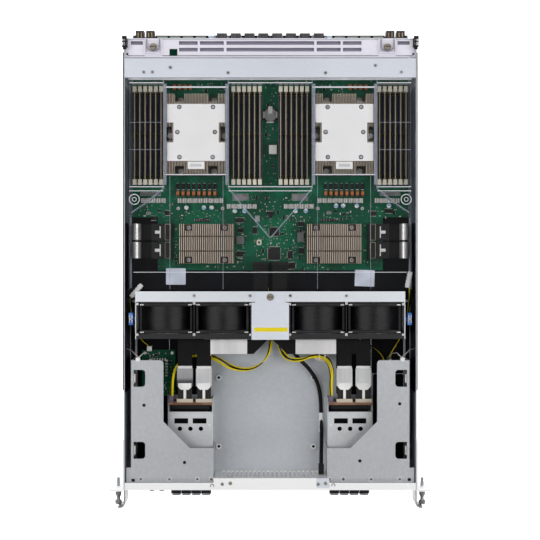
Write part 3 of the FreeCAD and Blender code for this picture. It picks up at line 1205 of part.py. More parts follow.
def chassis_screws():
    spots = [(str(x), f"bar_front + {ahead}", "bar_top") for x, ahead in bar_screw_spots]
    paired = [("flange_screw_x", "front_y + flange_screw_in", "bar_top"),
              ("channel_half", "cage_wall_y + cage_screw_in", "cage_top_z"),
              ("fan_wall_x", "cage_wall_y + cage_screw_in", "cage_top_z")]
    paired += [(f"lid_screw_{spot}", "front_y + lid_front + lid_screw_in", "lid_top") for spot in "abcd"]
    paired += [(f"board_screw_{spot}", "board_rear - board_screw_back", "board_top") for spot in "ab"]
    spots += [(f"{side}*{x}", y, z) for side in (-1, 1) for x, y, z in paired]
    heads = [rod(f"screw_{index}", "z", (x, y), (z, f"{z} + screw_head"), "screw_head_radius")
             for index, (x, y, z) in enumerate(spots)]
    node("chassis_screws", group("screw_heads", heads))


for make in (base_pan, front_panel, rack_ears, pull_handles, ear_thumbscrews, cross_bar, rear_deck,
             deck_thumbscrews, motherboard, board_standoffs, insulating_film, cpu_sockets, cpu_heatsinks,
             heatsink_plates, heatsink_screws, dimm_sockets, dimm_modules, dimm_latches, switch_heatsinks,
             board_rows, polymer_capacitors, board_chips, coin_cell, board_connectors, fan_cage,
             fan_cover_plate, cover_thumbscrew, fans, cage_latches, air_shroud, bay_covers, ocp_cages,
             port_boards, port_cages, dust_plugs, cable_plugs, pull_tabs, flat_cables, power_leads,
             signal_cable, rear_connectors, guide_modules, chassis_screws):
    make()

doc.recompute()
failed = [item.Name for item in doc.Objects if "Invalid" in item.State or "Error" in item.State]
failed += [name for name, thing in nodes.items() if thing.Shape.isNull() or not thing.Shape.isValid()]
if failed:
    raise RuntimeError(f"these did not build: {failed}")

os.makedirs("parts", exist_ok=True)
for name, thing in nodes.items():
    thing.Shape.exportStep(f"parts/{name}.step")
print(f"{len(nodes)} sub-parts written")
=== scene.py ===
import bpy
import bmesh
import math
import random
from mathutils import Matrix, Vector


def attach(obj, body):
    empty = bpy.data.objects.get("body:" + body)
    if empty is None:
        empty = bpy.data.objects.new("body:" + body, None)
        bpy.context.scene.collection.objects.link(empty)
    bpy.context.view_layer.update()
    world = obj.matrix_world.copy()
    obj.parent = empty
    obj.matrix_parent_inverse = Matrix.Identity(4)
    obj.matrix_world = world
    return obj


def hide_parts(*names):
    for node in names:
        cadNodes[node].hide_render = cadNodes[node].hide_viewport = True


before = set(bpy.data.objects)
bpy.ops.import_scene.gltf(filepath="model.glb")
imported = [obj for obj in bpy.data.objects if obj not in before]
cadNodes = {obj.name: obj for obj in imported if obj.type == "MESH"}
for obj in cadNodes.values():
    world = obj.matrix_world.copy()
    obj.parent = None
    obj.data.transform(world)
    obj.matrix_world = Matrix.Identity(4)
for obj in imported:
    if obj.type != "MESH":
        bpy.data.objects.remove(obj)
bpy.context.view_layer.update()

print("frame loaded,", len(cadNodes), "CAD nodes")


class Wire:  # a node's output that Python's own operators work on
    def __init__(self, finish, socket):
        self.finish, self.socket = finish, socket

    def __add__(self, other):
        return self.finish.maths("ADD", self, other)

    def __radd__(self, other):
        return self.finish.maths("ADD", other, self)

    def __sub__(self, other):
        return self.finish.maths("SUBTRACT", self, other)

    def __rsub__(self, other):
        return self.finish.maths("SUBTRACT", other, self)

    def __mul__(self, other):
        return self.finish.maths("MULTIPLY", self, other)

    def __rmul__(self, other):
        return self.finish.maths("MULTIPLY", other, self)

    def __truediv__(self, other):
        return self.finish.maths("DIVIDE", self, other)

    def __mod__(self, other):
        return self.finish.maths("FLOORED_MODULO", self, other)

    def __gt__(self, other):
        return self.finish.maths("GREATER_THAN", self, other)

    def __lt__(self, other):
        return self.finish.maths("LESS_THAN", self, other)

    def __abs__(self):
        return self.finish.maths("ABSOLUTE", self)


def rgba(colour):
    return colour if isinstance(colour, Wire) else (*colour[:3], 1.0)


class Finish:  # one material, built up node by node
    def __init__(self, name):
        self.material = bpy.data.materials.new(name)
        self.material.use_nodes = True
        self.tree = self.material.node_tree
        self.shader = self.tree.nodes["Principled BSDF"]
        self.spot = self.node("TexCoord", out="Object")
        self.x, self.y, self.z = [self.part(self.spot, axis) for axis in range(3)]

    def fill(self, made, sockets):  # a number is set on the socket itself, a wire is linked to it
        for key, wanted in sockets.items():
            if isinstance(wanted, Wire):
                self.tree.links.new(wanted.socket, made.inputs[key])
            else:
                made.inputs[key].default_value = wanted

    def node(self, kind, settings=None, sockets=None, out=0):
        made = self.tree.nodes.new("ShaderNode" + kind)
        for key, wanted in (settings or {}).items():
            setattr(made, key, wanted)
        self.fill(made, sockets or {})
        return Wire(self, made.outputs[out])

    def maths(self, operation, *values):
        return self.node("Math", {"operation": operation}, dict(enumerate(values)))

    def part(self, wire, axis):  # one axis of a vector, or one channel of a colour
        return self.node("SeparateXYZ", None, {0: wire}, axis)

    def stretched(self, stretch):
        return self.node("VectorMath", {"operation": "MULTIPLY"}, {0: self.spot, 1: stretch})

    def noise(self, scale, detail=3.0, stretch=(1, 1, 1)):
        sockets = {"Vector": self.stretched(stretch), "Scale": scale, "Detail": detail}
        return self.node("TexNoise", None, sockets)

    def cells(self, scale, out, stretch=(1, 1, 1)):
        return self.node("TexVoronoi", None, {"Vector": self.stretched(stretch), "Scale": scale}, out)

    def level(self, wire, low, high):  # 0 below low, 1 above high, smooth between
        return self.node("MapRange", {"interpolation_type": "SMOOTHSTEP"}, {0: wire, 1: low, 2: high})

    def inside(self, wire, low, high):
        return (wire > low) * (wire < high)

    def stripes(self, wire, pitch, share):  # 1 on that share of every pitch
        return (wire % pitch) < pitch * share

    def facing(self, axis):  # how far the surface faces along an axis, from -1 to 1
        return self.part(self.node("TexCoord", out="Normal"), axis)

    def mix(self, share, first, second):
        return self.node("Mix", {"data_type": "RGBA"}, {0: share, 6: rgba(first), 7: rgba(second)}, 2)

    def surface(self, colour, roughness, metallic=0.0, bump=None, depth=0.0, shine=0.5, more=None):
        wanted = {"Base Color": rgba(colour), "Roughness": roughness, "Metallic": metallic,
                  "Specular IOR Level": shine, **(more or {})}
        if bump is not None:
            wanted["Normal"] = self.node("Bump", None, {"Height": bump, "Distance": depth, "Strength": 0.7})
        self.fill(self.shader, wanted)
        return self.material


finishes = {}


def tones(name, dark, light, **more):  # a material's name, its two tones and what else its maker reads
    return {"name": name, "dark": dark, "light": light, **more}


def makeFinishes(maker, looks):
    for key, look in looks.items():
        finishes[key] = maker(look["name"], look)


def sheetZinc(name, look):  # zinc plated sheet: fine grain, faint spangle and rolling lines
    f = Finish(name)
    grain = f.noise(1400, 4)
    flakes = f.part(f.cells(260, "Color"), 0)
    rolled = f.noise(60, 5, look.get("rolled", (1, 14, 14)))
    cloud = f.noise(7, 3)
    tone = (grain - 0.5) * 0.5 + (flakes - 0.5) * look.get("flake", 0.16) + (rolled - 0.5) * 0.35
    tone = tone + (cloud - 0.5) * 0.3 + 0.5
    colour = f.mix(tone, look["dark"], look["light"])
    rough = look["rough"] + (grain - 0.5) * 0.12 + (cloud - 0.5) * 0.14
    return f.surface(colour, rough, look["metal"], grain * 0.5 + rolled, 0.00006)


makeFinishes(sheetZinc, {
    "pan": tones("zincPan", (0.4, 0.425, 0.455), (0.6, 0.63, 0.665), metal=0.4, rough=0.42),
    "lid": tones("zincLid", (0.36, 0.375, 0.395), (0.58, 0.595, 0.615), metal=0.5, rough=0.45,
                 rolled=(14, 1, 14)),
    "bar": tones("zincBar", (0.6, 0.635, 0.71), (0.8, 0.83, 0.89), metal=0.35, rough=0.42, flake=0.08),
    # painted shade: the deck's own paint, darkened for the louvre blades and the rib and seam pressed into
    # the deck
    "blade": tones("bladeShadePaint", (0.2, 0.19, 0.25), (0.36, 0.34, 0.43), metal=0.1, rough=0.5, flake=0.03),
    "deck": tones("deckPaint", (0.72, 0.70, 0.79), (0.9, 0.88, 0.95), metal=0.15, rough=0.5, flake=0.03),
    "ear": tones("earPaint", (0.84, 0.84, 0.85), (0.96, 0.96, 0.96), metal=0.1, rough=0.45, flake=0.04),
    "bay": tones("bayZinc", (0.52, 0.54, 0.56), (0.8, 0.82, 0.83), metal=0.4, rough=0.36),
    "port": tones("portSteel", (0.42, 0.42, 0.43), (0.68, 0.68, 0.69), metal=0.85, rough=0.3),
})


def turnedSteel(name, look):  # lathe marks round the middle of each turned part
    f = Finish(name)
    rings = f.noise(900, 2, look["across"])
    smudge = f.noise(160, 3)
    colour = f.mix(rings * 0.7 + smudge * 0.3, look["dark"], look["light"])
    return f.surface(colour, 0.22 + smudge * 0.2, look["metal"], rings, 0.00008)


makeFinishes(turnedSteel, {
    "screw": tones("screwSteel", (0.3, 0.3, 0.32), (0.72, 0.72, 0.74), metal=0.9, across=(1, 1, 3)),
    "knob": tones("knobNickel", (0.2, 0.17, 0.13), (0.55, 0.49, 0.4), metal=0.8, across=(1, 1, 4)),
    "thumb": tones("thumbSteel", (0.16, 0.16, 0.17), (0.5, 0.5, 0.52), metal=0.85, across=(1, 5, 1)),
    "brass": tones("postBrass", (0.45, 0.32, 0.12), (0.85, 0.66, 0.32), metal=0.9, across=(1, 1, 4)),
    "cell": tones("cellSteel", (0.2, 0.2, 0.2), (0.42, 0.42, 0.41), metal=0.7, across=(1, 1, 1)),
})


def drawnStrip(name, look):  # satin strip with long draw lines
    f = Finish(name)
    drawn = f.noise(500, 4, (1, 1, 0.06))
    wear = f.noise(45, 4)
    colour = f.mix(drawn * 0.6 + wear * 0.4, look["dark"], look["light"])
    return f.surface(colour, 0.28 + wear * 0.18, look["metal"], drawn, 0.00005)


makeFinishes(drawnStrip, {
    "tin": tones("tinPlate", (0.5, 0.49, 0.46), (0.82, 0.81, 0.78), metal=0.8),
    "foil": tones("foilWrap", (0.34, 0.33, 0.33), (0.92, 0.91, 0.91), metal=0.6),
    "handle": tones("handleStrip", (0.2, 0.21, 0.21), (0.46, 0.47, 0.46), metal=0.6),
})


def moulded(name, look):  # fine spark-eroded texture and a little handling shine
    f = Finish(name)
    texture = f.noise(2200, 2)
    dust = f.noise(40, 4)
    tone = f.level(dust, 0.42, 0.78) * look.get("dust", 0.5) + texture * 0.2
    colour = f.mix(tone, look["dark"], look["light"])
    rough = look["rough"] + (texture - 0.5) * 0.15 + (dust - 0.5) * 0.15
    return f.surface(colour, rough, 0.0, texture, 0.00004, look.get("shine", 0.4))


makeFinishes(moulded, {
    "fan": tones("fanPlastic", (0.004, 0.004, 0.005), (0.022, 0.021, 0.024), rough=0.42, shine=0.25),
    "rotor": tones("rotorPlastic", (0.008, 0.008, 0.009), (0.045, 0.045, 0.05), rough=0.34),
    "black": tones("blackPlastic", (0.004, 0.004, 0.005), (0.02, 0.02, 0.023), rough=0.45, shine=0.2),
    "cream": tones("creamPlastic", (0.62, 0.58, 0.46), (0.82, 0.79, 0.68), rough=0.5, dust=0.8),
    "white": tones("whitePlastic", (0.74, 0.74, 0.73), (0.92, 0.92, 0.92), rough=0.45, dust=0.8),
    "blue": tones("bluePlastic", (0.03, 0.12, 0.42), (0.16, 0.36, 0.75), rough=0.38, dust=0.8),
    "guide": tones("guidePlastic", (0.42, 0.55, 0.74), (0.66, 0.77, 0.92), rough=0.4, dust=0.8),
    "grey": tones("greyPlastic", (0.12, 0.12, 0.13), (0.3, 0.3, 0.31), rough=0.5, dust=0.8),
    "labelGrey": tones("labelGrey", (0.5, 0.52, 0.54), (0.66, 0.68, 0.7), rough=0.5, dust=0.8),
    "ceramic": tones("ceramicTan", (0.22, 0.14, 0.07), (0.46, 0.33, 0.2), rough=0.5, dust=0.8),
    "slotEdge": tones("slotEdge", (0.2, 0.17, 0.11), (0.42, 0.36, 0.24), rough=0.4, dust=0.8),
    # painted shade: the tone of the side walls' rear part, in the dark gap beside the memory
    "slateShade": tones("slateShadeFilm", (0.11, 0.12, 0.155), (0.24, 0.26, 0.31), rough=0.4, dust=0.8),
    "lilac": tones("lilacLabel", (0.4, 0.43, 0.52), (0.56, 0.59, 0.68), rough=0.4, dust=0.8),
    "smoke": tones("smokePlastic", (0.012, 0.012, 0.013), (0.05, 0.05, 0.052), rough=0.45, shine=0.25),
    "navy": tones("navyPlastic", (0.006, 0.016, 0.07), (0.016, 0.045, 0.19), rough=0.42, shine=0.2),
})


def solderMask(name, look):  # mask over tracks, filled areas and vias, with plain marks on top
    f = Finish(name)
    pick = f.part(f.cells(look["block"], "Color", (1, 1, 0.01)), 0)
    along, across = f.stripes(f.x, look["trace"], 0.5), f.stripes(f.y, look["trace"], 0.5)
    slant = f.stripes(f.x + f.y, look["trace"] * 1.4, 0.5)
    tracks = along * (pick < 0.35) + across * f.inside(pick, 0.35, 0.65) + slant * f.inside(pick, 0.65, 0.85)
    filled = f.level(f.noise(24, 2), 0.5, 0.53)
    colour = f.mix(tracks * 0.55 + filled * 0.45, look["dark"], look["light"])
    via = f.cells(330, "Distance", (1, 1, 0.01)) < 0.11
    spare = f.level(f.noise(30, 2), 0.5, 0.6)
    colour = f.mix(via * spare * 0.75, colour, look["pad"])
    bricks = {"Vector": f.spot, "Color1": (0, 0, 0, 1), "Color2": (1, 1, 1, 1), "Mortar": (0, 0, 0, 1),
              "Scale": 95.0, "Mortar Size": 0.05, "Bias": -0.86}
    marks = f.part(f.node("TexBrick", {"offset": 0.35}, bricks, "Color"), 0)
    marks = marks * f.level(f.noise(55, 1), 0.55, 0.6)
    colour = f.mix(marks * 0.5, colour, look["mark"])
    colour = f.mix(abs(f.facing(2)) < 0.5, colour, look["edge"])
    if "deep" in look:  # painted shade: what lies under the bay's roof is darkened to the deep tone
        colour = f.mix(f.z < 0.04, colour, look["deep"])
    rough = 0.32 + f.noise(90, 3) * 0.2
    return f.surface(colour, rough, 0.0, tracks + filled, 0.00005, 0.12)


makeFinishes(solderMask, {
    "board": tones("boardMask", (0.001, 0.06, 0.03), (0.002, 0.14, 0.066), edge=(0.12, 0.11, 0.05),
                   pad=(0.6, 0.58, 0.5), mark=(0.62, 0.68, 0.62), trace=0.0011, block=26.0),
    # the port boards' deep tone is painted shade under the bay's roof
    "card": tones("cardMask", (0.16, 0.08, 0.05), (0.3, 0.16, 0.11), edge=(0.4, 0.22, 0.15),
                  pad=(0.6, 0.5, 0.3), mark=(0.5, 0.45, 0.4), trace=0.0012, block=40.0,
                  deep=(0.016, 0.013, 0.013)),
})


def finStack(name, look):  # thin folded fins, some a little darker, with oil tint down their sides and painted shade towards their roots
    f = Finish(name)
    column = f.maths("FLOOR", f.x / look["pitch"])
    fin = f.node("TexWhiteNoise", {"noise_dimensions": "1D"}, {"W": column})
    tint = f.noise(30, 4, (1, 0.3, 1))
    fine = f.noise(900, 3, (1, 0.05, 1))
    colour = f.mix(fin * 0.2 + tint * 0.5 + fine * 0.3, look["dark"], look["light"])
    # painted shade: below low the fins fade into the deep tone, as the gaps between them darken
    colour = f.mix(f.level(f.z, look["low"], look["top"]), look["deep"], colour)
    return f.surface(colour, 0.32 + fine * 0.2, look["metal"], fine, 0.00005)


makeFinishes(finStack, {
    "cpuFin": tones("cpuFins", (0.46, 0.39, 0.31), (0.8, 0.71, 0.6), deep=(0.16, 0.125, 0.09), metal=0.6,
                    pitch=0.0023, low=0.045, top=0.0765),
    "switchFin": tones("switchFins", (0.5, 0.41, 0.33), (0.84, 0.72, 0.6), deep=(0.16, 0.115, 0.08),
                       metal=0.5, pitch=0.0029, low=0.028, top=0.0465),
})


def paintedPlate(name, look):  # matt off-white paint over a pressed plate
    f = Finish(name)
    peel = f.noise(800, 3)
    stain = f.noise(25, 4)
    colour = f.mix(peel * 0.4 + stain * 0.6, look["dark"], look["light"])
    colour = f.mix(abs(f.facing(2)) < 0.5, colour, look["edge"])
    return f.surface(colour, 0.5 + peel * 0.15, 0.0, peel, 0.00005)


makeFinishes(paintedPlate, {
    "plate": tones("platePaint", (0.7, 0.69, 0.7), (0.88, 0.87, 0.88), edge=(0.45, 0.44, 0.44)),
})


def memoryLaminate(name, look):  # beige cut edge on top, dark laminate and packages below it
    f = Finish(name)
    weave = f.stripes(f.y, 0.0009, 0.5)
    wear = f.noise(120, 3)
    edge = f.mix(weave * 0.35 + wear * 0.5, look["dark"], look["light"])
    chips = f.stripes(f.y + 0.002, 0.0116, 0.86) * f.inside(f.z, *look["chipZ"])
    side = f.mix(chips, look["laminate"], look["chip"])
    colour = f.mix(f.z > look["top"], side, edge)
    return f.surface(colour, 0.35 + wear * 0.25, 0.0, chips + weave * 0.1, 0.0001)


makeFinishes(memoryLaminate, {
    "module": tones("moduleLaminate", (0.3, 0.22, 0.1), (0.52, 0.42, 0.24), laminate=(0.006, 0.03, 0.02),
                    chip=(0.006, 0.016, 0.065), top=0.0456, chipZ=(0.0215, 0.0417)),
})


def orangeCase(name, look):  # moulded case with a darker polarity band
    f = Finish(name)
    mottle = f.noise(700, 3)
    colour = f.mix(mottle, look["dark"], look["light"])
    colour = f.mix(f.stripes(f.y, 0.008, 0.38), colour, look["band"])
    return f.surface(colour, 0.38 + mottle * 0.15, 0.0, mottle, 0.00004)


makeFinishes(orangeCase, {
    "orange": tones("orangeCase", (0.36, 0.08, 0.012), (0.62, 0.19, 0.035), band=(0.16, 0.03, 0.006)),
})


def powderCore(name, look):  # pressed iron powder with bright solder feet
    f = Finish(name)
    powder = f.noise(1800, 3)
    blotch = f.noise(150, 3)
    colour = f.mix(powder * 0.5 + blotch * 0.5, look["dark"], look["light"])
    colour = f.mix(f.z < look["feet"], colour, look["lead"])
    return f.surface(colour, 0.55 + powder * 0.2, 0.0, powder, 0.00008)


makeFinishes(powderCore, {
    "coil": tones("coilPowder", (0.2, 0.2, 0.2), (0.42, 0.42, 0.41), lead=(0.66, 0.64, 0.6), feet=0.0132),
})


def drawnCan(name, look):  # drawn aluminium can, half its top inked blue
    f = Finish(name)
    brushed = f.noise(700, 3, (1, 1, 0.2))
    colour = f.mix(brushed, look["dark"], look["light"])
    inked = (f.z > look["top"]) * f.stripes(f.y + f.x * 0.2, 0.009, 0.45)
    colour = f.mix(inked * 0.7, colour, look["band"])
    return f.surface(colour, 0.25 + brushed * 0.2, 0.55, brushed, 0.00004)


makeFinishes(drawnCan, {
    "can": tones("canMetal", (0.55, 0.56, 0.58), (0.82, 0.84, 0.87), band=(0.1, 0.28, 0.5), top=0.0184),
})


def clearPolycarbonate(name, look):  # nearly clear on top, with smoky upright walls
    f = Finish(name)
    haze = f.noise(18, 4)
    scuff = f.noise(220, 4, (1, 0.12, 1))
    wall = f.z < look["under"]
    colour = f.mix(wall, look["light"], look["dark"])
    alpha = look["sheetAlpha"] * (0.6 + haze * 0.8) + f.level(scuff, 0.66, 0.8) * 0.008
    alpha = alpha * (1 - wall) + wall * look["wallAlpha"]
    return f.surface(colour, 0.08 + haze * 0.1, more={"Alpha": alpha, "IOR": 1.58})


makeFinishes(clearPolycarbonate, {
    "clear": tones("clearSheet", (0.3, 0.33, 0.46), (0.86, 0.9, 0.94), sheetAlpha=0.004, wallAlpha=0.3,
                   under=0.08245),
})


def clearEdge(name, look):  # a bend or cut edge of the clear sheet: pale beads as painted highlights along the bends, darker creases
    f = Finish(name)
    strain = f.noise(120, 4)
    colour = f.mix(strain, look["dark"], look["light"])
    return f.surface(colour, 0.2 + strain * 0.2, 0.0, strain, 0.00005, more={"Alpha": look["alpha"]})


makeFinishes(clearEdge, {
    # painted highlight: the pale beads along the bends of the clear sheet
    "highlightBead": tones("clearBeadHighlight", (0.72, 0.75, 0.8), (0.9, 0.92, 0.95), alpha=0.8),
    "crease": tones("clearCrease", (0.34, 0.37, 0.47), (0.56, 0.59, 0.68), alpha=0.34),
})


def cagePlate(name, look):  # bare plate along the rear and at both ends, black plastic round the fans
    f = Finish(name)
    grain = f.noise(1200, 4)
    cloud = f.noise(9, 3)
    bare = f.maths("MAXIMUM", f.y > look["rear"], abs(f.x) > look["end"])
    plate = f.mix(grain * 0.5 + cloud * 0.5, look["dark"], look["light"])
    paint = f.mix(grain * 0.4 + cloud * 0.5, look["black"], look["sheen"])
    colour = f.mix(bare, paint, plate)
    return f.surface(colour, 0.4 + (grain - 0.5) * 0.2, bare * 0.35, grain, 0.00005, 0.25)


makeFinishes(cagePlate, {
    "cage": tones("cagePlate", (0.6, 0.64, 0.69), (0.82, 0.85, 0.88), black=(0.008, 0.008, 0.009),
                  sheen=(0.035, 0.035, 0.037), rear=-0.0572, end=0.2018),
})


def ribbonJacket(name, look):  # black woven jacket, with shielding foil round the folded stretches
    f = Finish(name)
    pitch = look["weave"]
    weave = f.stripes(f.x + f.y, pitch, 0.5) * 0.5 + f.stripes(f.x - f.y, pitch, 0.5) * 0.5
    rub = f.noise(60, 4)
    jacket = f.mix(weave * 0.4 + rub * 0.6, look["dark"], look["light"])
    crease = f.noise(45, 3, (1, 0.12, 1))
    foil = f.mix(f.level(crease, 0.3, 0.7), look["foil"], look["foilLight"])
    fold = f.inside(f.x, *look["left"]) + f.inside(f.x, *look["right"])
    fold = fold * f.inside(f.y, *look["foldY"])
    wrap = f.maths("MAXIMUM", fold, f.inside(f.y, *look["plugY"]))
    colour = f.mix(wrap, jacket, foil)
    rough = 0.55 - wrap * 0.25 + rub * 0.1
    return f.surface(colour, rough, wrap * 0.7, weave * 0.2 + crease * wrap, 0.00012, 0.12)


makeFinishes(ribbonJacket, {
    "ribbon": tones("ribbonJacket", (0.002, 0.002, 0.002), (0.009, 0.009, 0.0095), foil=(0.74, 0.73, 0.73),
                    foilLight=(0.88, 0.87, 0.87), left=(-0.0912, -0.0353), right=(0.0385, 0.1003),
                    foldY=(-0.14, -0.112), plugY=(-0.17, -0.156), weave=0.0012),
})


def plugShell(name, look):  # pressed steel shells at the bays, black moulded plugs beside the board
    f = Finish(name)
    brushed = f.noise(300, 4, (1, 0.05, 1))
    bent = f.noise(22, 2)
    shell = f.mix(brushed * 0.5 + bent * 0.5, look["dark"], look["light"])
    dull = f.inside(f.x, *look["dullX"])  # painted reflection: one shell is darkened where it mirrors the dark bay, more so towards its front
    shell = f.mix(dull * f.level(f.y, -0.172, -0.184) * 0.85 + dull * 0.5, shell, look["dull"])
    nose = f.y < look["noseY"]  # the moulded end that enters the receptacle
    atBoard = f.y > 0
    colour = f.mix(atBoard, f.mix(nose, shell, look["nose"]), look["black"])
    bare = (1 - atBoard) * (1 - nose)
    return f.surface(colour, 0.42 + bent * 0.1 - bare * 0.15, bare * 0.6, brushed, 0.00005, 0.2)


makeFinishes(plugShell, {
    "plug": tones("plugShell", (0.5, 0.5, 0.51), (0.9, 0.9, 0.91), nose=(0.02, 0.016, 0.015), noseY=-0.1868,
                  dull=(0.1, 0.1, 0.11), dullX=(-0.148, -0.116), black=(0.012, 0.012, 0.013)),
})


def connectorShells(name, look):  # black mouldings, cream receptacles at the risers, a white header
    f = Finish(name)
    texture = f.noise(1500, 3)
    atRiser = f.inside(f.y, *look["riserY"])
    lead = f.maths("MAXIMUM", f.inside(f.x, *look["leftX"]), f.inside(f.x, *look["rightX"])) * atRiser
    colour = f.mix(atRiser, look["dark"], look["cream"])
    colour = f.mix(lead, colour, look["violet"])
    colour = f.mix(f.inside(f.y, *look["headerY"]), colour, look["white"])
    colour = f.mix(texture * 0.12, colour, look["light"])
    ribs = f.stripes(f.x, 0.0011, 0.5) * 0.4
    return f.surface(colour, 0.4 + texture * 0.2, 0.0, texture + ribs, 0.00008, 0.2)


makeFinishes(connectorShells, {
    "socket": tones("connectorShells", (0.01, 0.01, 0.011), (0.05, 0.05, 0.05), cream=(0.62, 0.57, 0.46),
                    violet=(0.14, 0.12, 0.17), white=(0.82, 0.8, 0.74), riserY=(-0.212, -0.2),
                    headerY=(0.165, 0.19), leftX=(-0.1545, -0.147), rightX=(0.0885, 0.0965)),
})


def waferStack(name, look):  # thin moulded wafers side by side
    f = Finish(name)
    wafer = f.stripes(f.x, 0.0018, 0.42)
    speck = f.noise(1200, 3)
    colour = f.mix(wafer * 0.4 + speck * 0.4, look["dark"], look["light"])
    return f.surface(colour, 0.4 + speck * 0.2, 0.0, wafer, 0.0004)


makeFinishes(waferStack, {
    "wafer": tones("waferStack", (0.016, 0.014, 0.018), (0.07, 0.06, 0.075)),
})


def insulation(name, look):  # extruded insulation with a faint sheen
    f = Finish(name)
    skin = f.noise(500, 3)
    sweep = f.noise(45, 3)
    colour = f.mix(skin * 0.4 + sweep * 0.6, look["dark"], look["light"])
    return f.surface(colour, 0.34 + skin * 0.15, 0.0, skin, 0.00004, 0.1)


makeFinishes(insulation, {
    "yellow": tones("yellowLead", (0.68, 0.53, 0.008), (0.86, 0.72, 0.03)),
    "cable": tones("blackLead", (0.003, 0.003, 0.0035), (0.012, 0.012, 0.012)),
})


def filmSheet(name, look):  # smooth polyester film with soft waves
    f = Finish(name)
    wave = f.noise(14, 3)
    fleck = f.noise(700, 2)
    colour = f.mix(wave * 0.6 + fleck * 0.3, look["dark"], look["light"])
    return f.surface(colour, 0.3 + wave * 0.2, 0.0, wave, 0.0008, 0.05)


makeFinishes(filmSheet, {
    "film": tones("filmSheet", (0.002, 0.002, 0.003), (0.009, 0.009, 0.012)),
})
print("finishes made,", len(finishes))


def bothSides(name):
    return [f"{side}_{name}" for side in ("left", "right")]


wearing = {  # the CAD nodes that each finish goes on
    "pan": ["base_pan"], "lid": bothSides("bay_cover"), "bar": ["cross_bar", "fan_cover_plate"],
    "cage": ["fan_cage"], "deck": ["rear_deck"], "ear": ["rack_ears", "front_panel"], "bay": ["ocp_cages"],
    "port": ["port_cages"], "screw": ["heatsink_screws", "chassis_screws"],
    "knob": bothSides("deck_thumbscrew") + ["cover_thumbscrew"], "thumb": bothSides("ear_thumbscrew"),
    "brass": ["board_standoffs"], "cell": ["coin_cell"], "handle": ["pull_handles"],
    "fan": [f"fan_frame_{n}" for n in range(1, 5)], "rotor": [f"fan_rotor_{n}" for n in range(1, 5)],
    "black": ["cpu_sockets", "board_chips", "dust_plugs"],
    "cream": bothSides("front_dimm_latches") + bothSides("rear_dimm_latches"),
    "white": ["pull_tabs"], "blue": bothSides("cage_latch"), "guide": ["guide_modules"],
    "navy": ["dimm_sockets"], "board": ["motherboard"], "card": ["port_boards"],
    "cpuFin": bothSides("cpu_heatsink"), "switchFin": bothSides("switch_heatsink"),
    "plate": ["heatsink_plates"], "module": ["dimm_modules"], "orange": ["orange_capacitors"],
    "coil": ["inductors"], "can": ["polymer_capacitors"], "clear": ["air_shroud"], "ribbon": ["flat_cables"],
    "plug": ["cable_plugs"], "socket": ["board_connectors"], "wafer": ["rear_connectors"],
    "film": ["insulating_film"],
}
for finish, names in wearing.items():
    for name in names:
        cadNodes[name].data.materials.clear()
        cadNodes[name].data.materials.append(finishes[finish])
print("CAD nodes dressed,", sum(len(names) for names in wearing.values()))


def onBody(piece, body):
    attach(piece, body)
    return piece


def millimetres(*values):
    return tuple(value / 1000 for value in values)


def cordCurve(name, points, radius, finish):  # a smooth NURBS line through the route, with a round section
    line = bpy.data.curves.new(name, "CURVE")
    line.dimensions = "3D"
    spline = line.splines.new("NURBS")
    spline.points.add(len(points) - 1)
    for spot, place in zip(spline.points, points):
        spot.co = (*millimetres(*place), 1.0)
        spot.radius = 0.001  # one millimetre, which the section below is a multiple of
    spline.order_u = 3
    spline.use_endpoint_u = True
    line.resolution_u = 8
    line.bevel_depth = radius
    line.bevel_resolution = 3
    line.use_fill_caps = True
    line.materials.append(finishes[finish])
    made = bpy.data.objects.new(name, line)
    bpy.context.scene.collection.objects.link(made)
    return made


def lineLength(made):  # along the curve itself, read with no section round it
    depth, made.data.bevel_depth = made.data.bevel_depth, 0
    mesh = bpy.data.meshes.new_from_object(made)
    made.data.bevel_depth = depth
    ends = [[mesh.vertices[index].co for index in edge.vertices] for edge in mesh.edges]
    run = sum((a - b).length for a, b in ends)
    bpy.data.meshes.remove(mesh)
    return run


def layCord(name, points, radius, finish):
    made = onBody(cordCurve(name, points, radius, finish), "tray")
    millimetres(*points[0])
    round(lineLength(made), 3)
    2 * radius / 1000
    return made


signal = {
    "radius": 3.0,
    "route": [(20, -9, 18), (20, -24, 18), (22, -46, 22), (21, -70, 21.5), (22, -96, 20), (26, -122, 20),
              (42, -145, 22), (62, -164, 18), (75, -187, 10), (79, -213, 5), (79, -240, 4.6), (80, -262, 8),
              (79, -280, 27), (78, -294, 44), (78, -306, 44)],
}


def laySignalCable():
    made = layCord("signalLine", signal["route"], signal["radius"], "cable")
    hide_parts("signal_cable")


leads = {
    "leftLead": [(-150.75, -201, 50), (-150.75, -180, 50), (-144, -151, 39), (-114, -138, 33),
                 (-84, -144, 35), (-58, -161, 40), (-28, -163, 42), (-4, -146, 38), (2, -120, 32),
                 (3, -92, 30), (-2, -64, 29), (-7, -36, 23), (-9, -20, 20), (-9, -9, 20)],
    "rightLead": [(92.75, -201, 50), (92.75, -184, 50), (95, -164, 43), (88, -145, 37), (68, -140, 35),
                  (46, -149, 36), (24, -146, 35), (14, -126, 30), (12, -102, 27), (12.5, -76, 26),
                  (10, -46, 23), (8, -22, 20), (8, -9, 20)],
}
strand = {"radius": 1.0, "spread": 1.9, "loose": 1.8, "twist": 0.45, "slant": 0.7, "held": 2,
          "colours": ("yellow", "yellow", "cable", "yellow", "yellow", "cable")}


